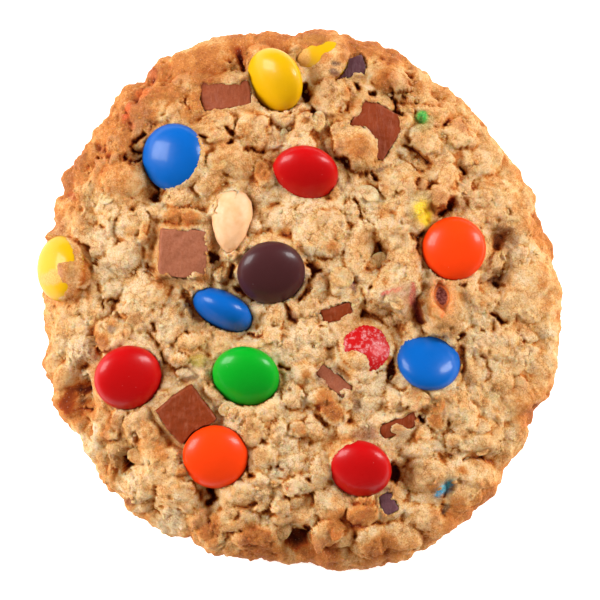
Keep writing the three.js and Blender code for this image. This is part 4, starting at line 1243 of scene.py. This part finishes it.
def make_dough(material):
    """The dough's piece. Gives its skin's run and browning, for what lies loose on it."""
    bare = bare_run()
    craggy, flake, dark = crags(bare)
    run = skin.trim(set_toppings(craggy, dark), 3)
    at = skin.at(run)
    sway = 0.22 * shifts(skin.at(bare), 1.2, (161, 164, 167), 2)
    free = np.ones(skin.size)
    for near, _, _, outside in meetings(craggy).values():
        free[near] = np.minimum(free[near], ease(0.2, 1.5, outside))
    at = at + sway * ease(0.0, 1.0, at[:, 2:3]) * free[:, None]
    at[:, 2] = np.maximum(at[:, 2], 0.0)
    # Painted shade for the material: how far each vertex lies below its neighbours, near and farther round,
    # with the crevices drawn darker still.
    hollow = np.clip(
        0.60 * ease(0.02, 0.7, skin.blur(run, 6) - run)
        + 0.65 * ease(0.25, 2.4, skin.blur(run, 60) - run)
        + 0.75 * dark,
        0, 1,
    )
    last = skin.counts[-1]
    at[-last:, 2] = 0.0
    below, below_faces = underside(at, last, len(at))
    points = np.concatenate([at, below])
    piece = mesh_piece("dough_crust", points, [*skin.faces.tolist(), *below_faces], material)
    plain = np.zeros(len(below))
    brown = browning(at, run, bare)
    paint(piece, "brown", np.concatenate([brown, plain + BASE_BROWN]))
    paint(piece, "flake", np.concatenate([flake * (1 - 0.8 * brown), plain]))
    paint(piece, "hollow", np.concatenate([hollow, plain]))
    paint_colour(piece, "tint", np.concatenate([stain_and_shade_dough(at, craggy), np.zeros((len(below), 4))]))
    ride_for(piece, "dough")
    return run, brown


BUTTON_SIDES = 96
BUTTON_RINGS = 48
BUTTON_BLUNT = 2.12  # two is an ellipse, and more is a blunter edge
BUTTON_SWELL = 0.02


def make_button(name, material, rough, film_places):
    """A button's shell, rough in millimetres where it is worn, with dough baked on in places."""
    lens = toppings[name]
    rows = [[0, 0, 1.0]]
    counts = [1]
    for k in range(1, BUTTON_RINGS):
        lean = math.pi * k / BUTTON_RINGS
        flat, up = math.sin(lean), math.cos(lean)
        blunt = (abs(flat) ** BUTTON_BLUNT + abs(up) ** BUTTON_BLUNT) ** (-1 / BUTTON_BLUNT)
        ring = BUTTON_SIDES if 3 < k < BUTTON_RINGS - 3 else BUTTON_SIDES // 3
        turn = 2 * math.pi * np.arange(ring) / ring
        x, y = flat * blunt * np.cos(turn), flat * blunt * np.sin(turn)
        rows += np.stack([x, y, np.full(ring, up * blunt)], axis=1).tolist()
        counts.append(ring)
    rows.append([0, 0, -1.0])
    counts.append(1)
    unit = np.array(rows)
    points = lens.middle + (unit * lens.half) @ lens.axes.T
    swell = 0.05 * smooth_noise(points, 5.0, 171) + rough * layered_noise(points, 1.3, 173, 4)
    swell = np.minimum(swell, BUTTON_SWELL) / lens.half[0]
    points = points + (points - lens.middle) * swell[:, None]
    piece = mesh_piece(name.replace("button_", "shell_"), points, ring_faces(counts), material)
    film = np.zeros(len(points))
    for x, y, radius, stretch, turn in worked(film_places):
        far = np.hypot(*in_oval(points, x, y, radius * stretch, radius, turn))
        film = np.maximum(film, ease(1.2, 0.7, far + 0.35 * layered_noise(points, 1.4, 181, 3)))
    paint(piece, "film", film)
    core = ease(-SLIT_BAND + 0.1, -SLIT_BAND - 0.15, slit_edge(points))
    paint(piece, "core", core * (name == "button_orange_covered"))
    ride_for(piece, name)


BLOCK_VOXEL = 0.24
# How far the chocolate has turned pale.
BLOOM = {"chunk_left": 0.9, "chunk_upper_left": 0.3, "chunk_lower_middle": 0.6}


def make_block(node, name, material, wear, seed, smooth):
    """A fine copy of a CAD block with edges softened in some rounds, and worn by millimetres."""
    points, faces = node_mesh(node)
    piece = mesh_piece(name, points, faces, material)
    bpy.context.view_layer.objects.active = piece
    piece.data.remesh_voxel_size = BLOCK_VOXEL * MM
    with bpy.context.temp_override(object=piece, active_object=piece):
        bpy.ops.object.voxel_remesh()
    mesh = piece.data
    mesh.polygons.foreach_set("use_smooth", [True] * len(mesh.polygons))
    form = bmesh.new()
    form.from_mesh(mesh)
    axes = {"use_axis_x": True, "use_axis_y": True, "use_axis_z": True}
    for _ in range(smooth):
        bmesh.ops.smooth_vert(form, verts=form.verts, factor=0.6, **axes)
    form.normal_update()
    at = np.array([v.co for v in form.verts]) / MM
    normals = np.array([v.normal for v in form.verts])
    beside = [[e.other_vert(v).co for e in v.link_edges] for v in form.verts]
    around = np.array([np.mean(places, axis=0) for places in beside]) / MM
    edge = ((at - around) * normals).sum(1)
    push = wear * (layered_noise(at, 1.7, seed, 4) - 0.35)
    at = at + normals * push[:, None]
    for v, place in zip(form.verts, at * MM):
        v.co = place
    form.to_mesh(mesh)
    form.free()
    mesh.update()
    paint(piece, "bloom", np.full(len(at), BLOOM.get(node, 0.0)))
    patchy = ease(-0.2, 0.4, layered_noise(at, 1.2, seed + 3, 3))
    paint(piece, "edge", 0.7 * ease(0.004, 0.03, edge) * patchy)
    ride_for(piece, node)


CRUMB_SEED = 23
CRUMB_COUNT = 700
LARGEST_CRUMB = 0.75
CRUMBS_WITHIN = 0.97  # shares of the way to the rim
LOOSE_FLAKE_SEED = 24
LOOSE_FLAKE_COUNT = 20
FLAKES_WITHIN = 0.88
# A loose flake's rings of vertices, over its top and back along its underside, with their reach.
FLAKE_RINGS = [1, 8, 16, 20, 20, 16, 8, 1]
FLAKE_LEVELS = [0, 0.35, 0.75, 1.0, 1.0, 0.75, 0.35, 0]


def small_ball():
    form = bmesh.new()
    bmesh.ops.create_icosphere(form, subdivisions=2, radius=1.0)
    points = np.array([v.co for v in form.verts])
    faces = np.array([[v.index for v in f.verts] for f in form.faces])
    form.free()
    return points, faces


def turned(points, random):
    """Points turned at random, by a unit quaternion."""
    q = random.normal(size=4)
    w, x, y, z = q / np.linalg.norm(q)
    turn = np.array([
        [1 - 2 * (y * y + z * z), 2 * (x * y - z * w), 2 * (x * z + y * w)],
        [2 * (x * y + z * w), 1 - 2 * (x * x + z * z), 2 * (y * z - x * w)],
        [2 * (x * z - y * w), 2 * (y * z + x * w), 1 - 2 * (x * x + y * y)],
    ])
    return points @ turn.T


def clear_of_toppings(place, reach):
    for topping in toppings.values():
        if isinstance(topping, Lens):
            outside = topping.cross(place[None] - [0, 0, 40.0], TOP_VIEW_RAY[None])[2][0]
        else:
            outside = outline_distance(place[None, :2], topping.outline)[0]
        if outside < reach:
            return False
    return True


def beyond(place, share):
    """Whether a place lies farther out than this share of the way to the rim."""
    return np.hypot(place[0], place[1]) > share * radius_at(math.atan2(place[1], place[0]))


def add_loose(name, points, faces, browns, material):
    """One piece made of many loose bits, each with the browning of the dough that it lies on."""
    piece = mesh_piece(name, np.concatenate(points), np.concatenate(faces).tolist(), material)
    paint(piece, "brown", np.concatenate(browns))
    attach(piece, "root")


def make_crumbs(run, brown, material):
    """Loose and half sunk crumbs of dough."""
    random = np.random.default_rng(CRUMB_SEED)
    ball, ball_faces = small_ball()
    at = skin.at(run)
    top = np.flatnonzero((skin.rays[:, 2] > -0.2) & (at[:, 2] > 2.0))
    points, faces, browns = [], [], []
    while len(faces) < CRUMB_COUNT:
        size = 0.28 + 0.22 * random.exponential()
        index = random.choice(top)
        place = at[index]
        covered = size > LARGEST_CRUMB or not clear_of_toppings(place, size + 0.1)
        if covered or beyond(place, CRUMBS_WITHIN):
            continue
        shape = ball * (1 + 0.28 * layered_noise(ball * 2 + place, 1.1, 191, 2))[:, None]
        shape = turned(shape * [1.0, random.uniform(0.6, 1), random.uniform(0.45, 0.8)], random)
        points.append(place + shape * size - [0, 0, 0.25 * size])
        faces.append(ball_faces + len(ball) * len(faces))
        browns.append(np.full(len(ball), brown[index] + random.uniform(-0.05, 0.2)))
    add_loose("crumbs", points, faces, browns, material)


def make_loose_flakes(run, brown, material):
    """Rolled oats that stand out of the crust: thin cupped ovals with a wavy edge."""
    random = np.random.default_rng(LOOSE_FLAKE_SEED)
    at = skin.at(run)
    top = np.flatnonzero(skin.rays[:, 2] > 0.1)
    flake_faces = np.array(ring_faces(FLAKE_RINGS))
    points, faces, browns = [], [], []
    while len(faces) < LOOSE_FLAKE_COUNT:
        length = random.uniform(1.3, 2.5)
        width = length * random.uniform(0.6, 0.85)
        thick = random.uniform(0.2, 0.3)
        index = random.choice(top)
        place = at[index]
        if not clear_of_toppings(place, length * 0.8) or beyond(place, FLAKES_WITHIN):
            continue
        shape = []
        for k, (count, level) in enumerate(zip(FLAKE_RINGS, FLAKE_LEVELS)):
            turn = 2 * math.pi * np.arange(count) / count
            x, y = level * np.cos(turn), level * np.sin(turn)
            side = 1 if k < len(FLAKE_RINGS) / 2 else -1
            cup, groove = 0.35 * (x * x * 0.6 + y * y), 0.12 * np.exp(-((y / 0.2) ** 2))
            rise = side * thick * (1 - 0.5 * level**2) + cup - groove * side
            shape.append(np.stack([x * length, y * width, rise], axis=1))
        shape = np.concatenate(shape)
        shape += 0.16 * shifts(shape + place, 1.1, (201, 202, 203), 2)
        tilt_x, tilt_y = random.normal(0, 0.3), random.normal(0, 0.3)
        x, y = along(shape[:, 0], shape[:, 1], -random.uniform(0, 2 * math.pi))
        z = shape[:, 2] + tilt_x * x + tilt_y * y
        points.append(place + np.stack([x, y, z], axis=1) + [0, 0, random.uniform(-0.35, 0.1)])
        faces.append(flake_faces + len(shape) * len(faces))
        browns.append(np.full(len(shape), 0.7 * brown[index] + random.uniform(0.0, 0.2)))
    add_loose("oat_flakes", points, faces, browns, material)


# ---- Camera, light and floor

# Camera, light and floor are given in metres.
CAMERA_HEIGHT = 0.70
SENSOR = 36
PHOTO_WIDTH = 0.120  # what the photo's frame spans at the height of the cookie's rim
RIM_HEIGHT = 0.006
FLOOR_HALF = 3.0
FLOOR_DROP = 0.0002  # keeps the floor clear of the cookie's base
WORLD_COLOUR = (1.0, 0.88, 0.74, 1)
WORLD_STRENGTH = 0.42
# Lights: (name, place, size, power).
SOFTBOXES = [
    ("softbox_left", (-0.86, 0.20, 0.42), (0.50, 0.60), 14.2),
    ("softbox_right", (0.80, 0.32, 0.42), (0.30, 0.55), 11.5),
]


def make_camera():
    data = bpy.data.cameras.new("camera")
    data.sensor_width = SENSOR
    data.lens = SENSOR * (CAMERA_HEIGHT - RIM_HEIGHT) / PHOTO_WIDTH
    data.clip_start = 0.01
    camera = bpy.data.objects.new("camera", data)
    camera.location = (*(spot(0, 0) * MM), CAMERA_HEIGHT)
    bpy.context.scene.collection.objects.link(camera)
    bpy.context.scene.camera = camera


def make_softbox(name, place, size, power):
    data = bpy.data.lights.new(name, "AREA")
    data.shape = "RECTANGLE"
    data.size, data.size_y = size
    data.energy = power
    light = bpy.data.objects.new(name, data)
    light.location = place
    light.rotation_euler = (-Vector(place)).to_track_quat("-Z", "Y").to_euler()
    bpy.context.scene.collection.objects.link(light)


def make_surroundings():
    n = Nodes("floor")
    grain = n.noise(n.places(), 30.0, 2.0)
    base = n.mix(n.span(grain, 0.3, 0.7), (0.93, 0.93, 0.93), (0.95, 0.95, 0.95))
    n.finish(Base_Color=base, Roughness=0.9, Emission_Color=(1, 1, 1, 1), Emission_Strength=0.72)
    mesh = bpy.data.meshes.new("floor")
    corners = [(-1, -1), (1, -1), (1, 1), (-1, 1)]
    mesh.from_pydata([(x * FLOOR_HALF, y * FLOOR_HALF, 0) for x, y in corners], [], [(0, 1, 2, 3)])
    mesh.materials.append(n.material)
    floor = bpy.data.objects.new("floor", mesh)
    floor.location.z = -FLOOR_DROP
    bpy.context.scene.collection.objects.link(floor)
    world = bpy.data.worlds.new("studio")
    world.use_nodes = True
    background = world.node_tree.nodes["Background"]
    background.inputs["Color"].default_value = WORLD_COLOUR
    background.inputs["Strength"].default_value = WORLD_STRENGTH
    world.cycles_visibility.glossy = False
    bpy.context.scene.world = world
    bpy.context.scene.view_settings.view_transform = "Standard"
    for box in SOFTBOXES:
        make_softbox(*box)


# ---- The whole cookie

make_camera()
make_surroundings()

# Where a film of dough is baked on a shell: (x, y, radius, stretch, turn).
FILMS = {
    "button_yellow_edge": [(-49.4, 4.4, 1.5, 2, 5)],
    "button_yellow_sunk": [(0.2, 48.2, 2, 1.2, 60)],
}
WORN = {"button_red_broken": 1.0, "button_orange_covered": 0.6}
WORN_RELIEF = 0.35
ROUNDED = {"chunk_left": 7, "chunk_lower_left": 7, "chunk_upper_left": 7}  # rounds of softening

dough_look = dough_material()
loose_look = dough_material("loose_dough", flakes=True)
run, brown = make_dough(dough_look)
make_crumbs(run, brown, loose_look)
make_loose_flakes(run, brown, loose_look)

shells = {c: shell_material("shell_" + c, SHELL[c]) for c in SHELL}
for name in BUTTONS:
    colour = slot_of(name).replace("shell_", "")
    worn = WORN.get(name, 0.0)
    coat = PALE_ORANGE if name == "button_orange_covered" else SHELL[colour]
    look = shell_material(name.replace("button_", "shell_"), coat, worn) if worn else shells[colour]
    make_button(name, look, WORN_RELIEF * worn, FILMS.get(name, ()))

milk = chocolate_material("milk_chocolate", *MILK)
dark = chocolate_material("dark_chocolate", *DARK)
for i, name in enumerate(BLOCKS[:-1]):
    look, title = dark if "dark" in name else milk, name.replace("chunk_", "chocolate_")
    make_block(name, title, look, wear=0.22, seed=211 + 7 * i, smooth=ROUNDED.get(name, 3))
make_block("peanut_half", "nut", nut_material(), wear=0.10, seed=301, smooth=8)
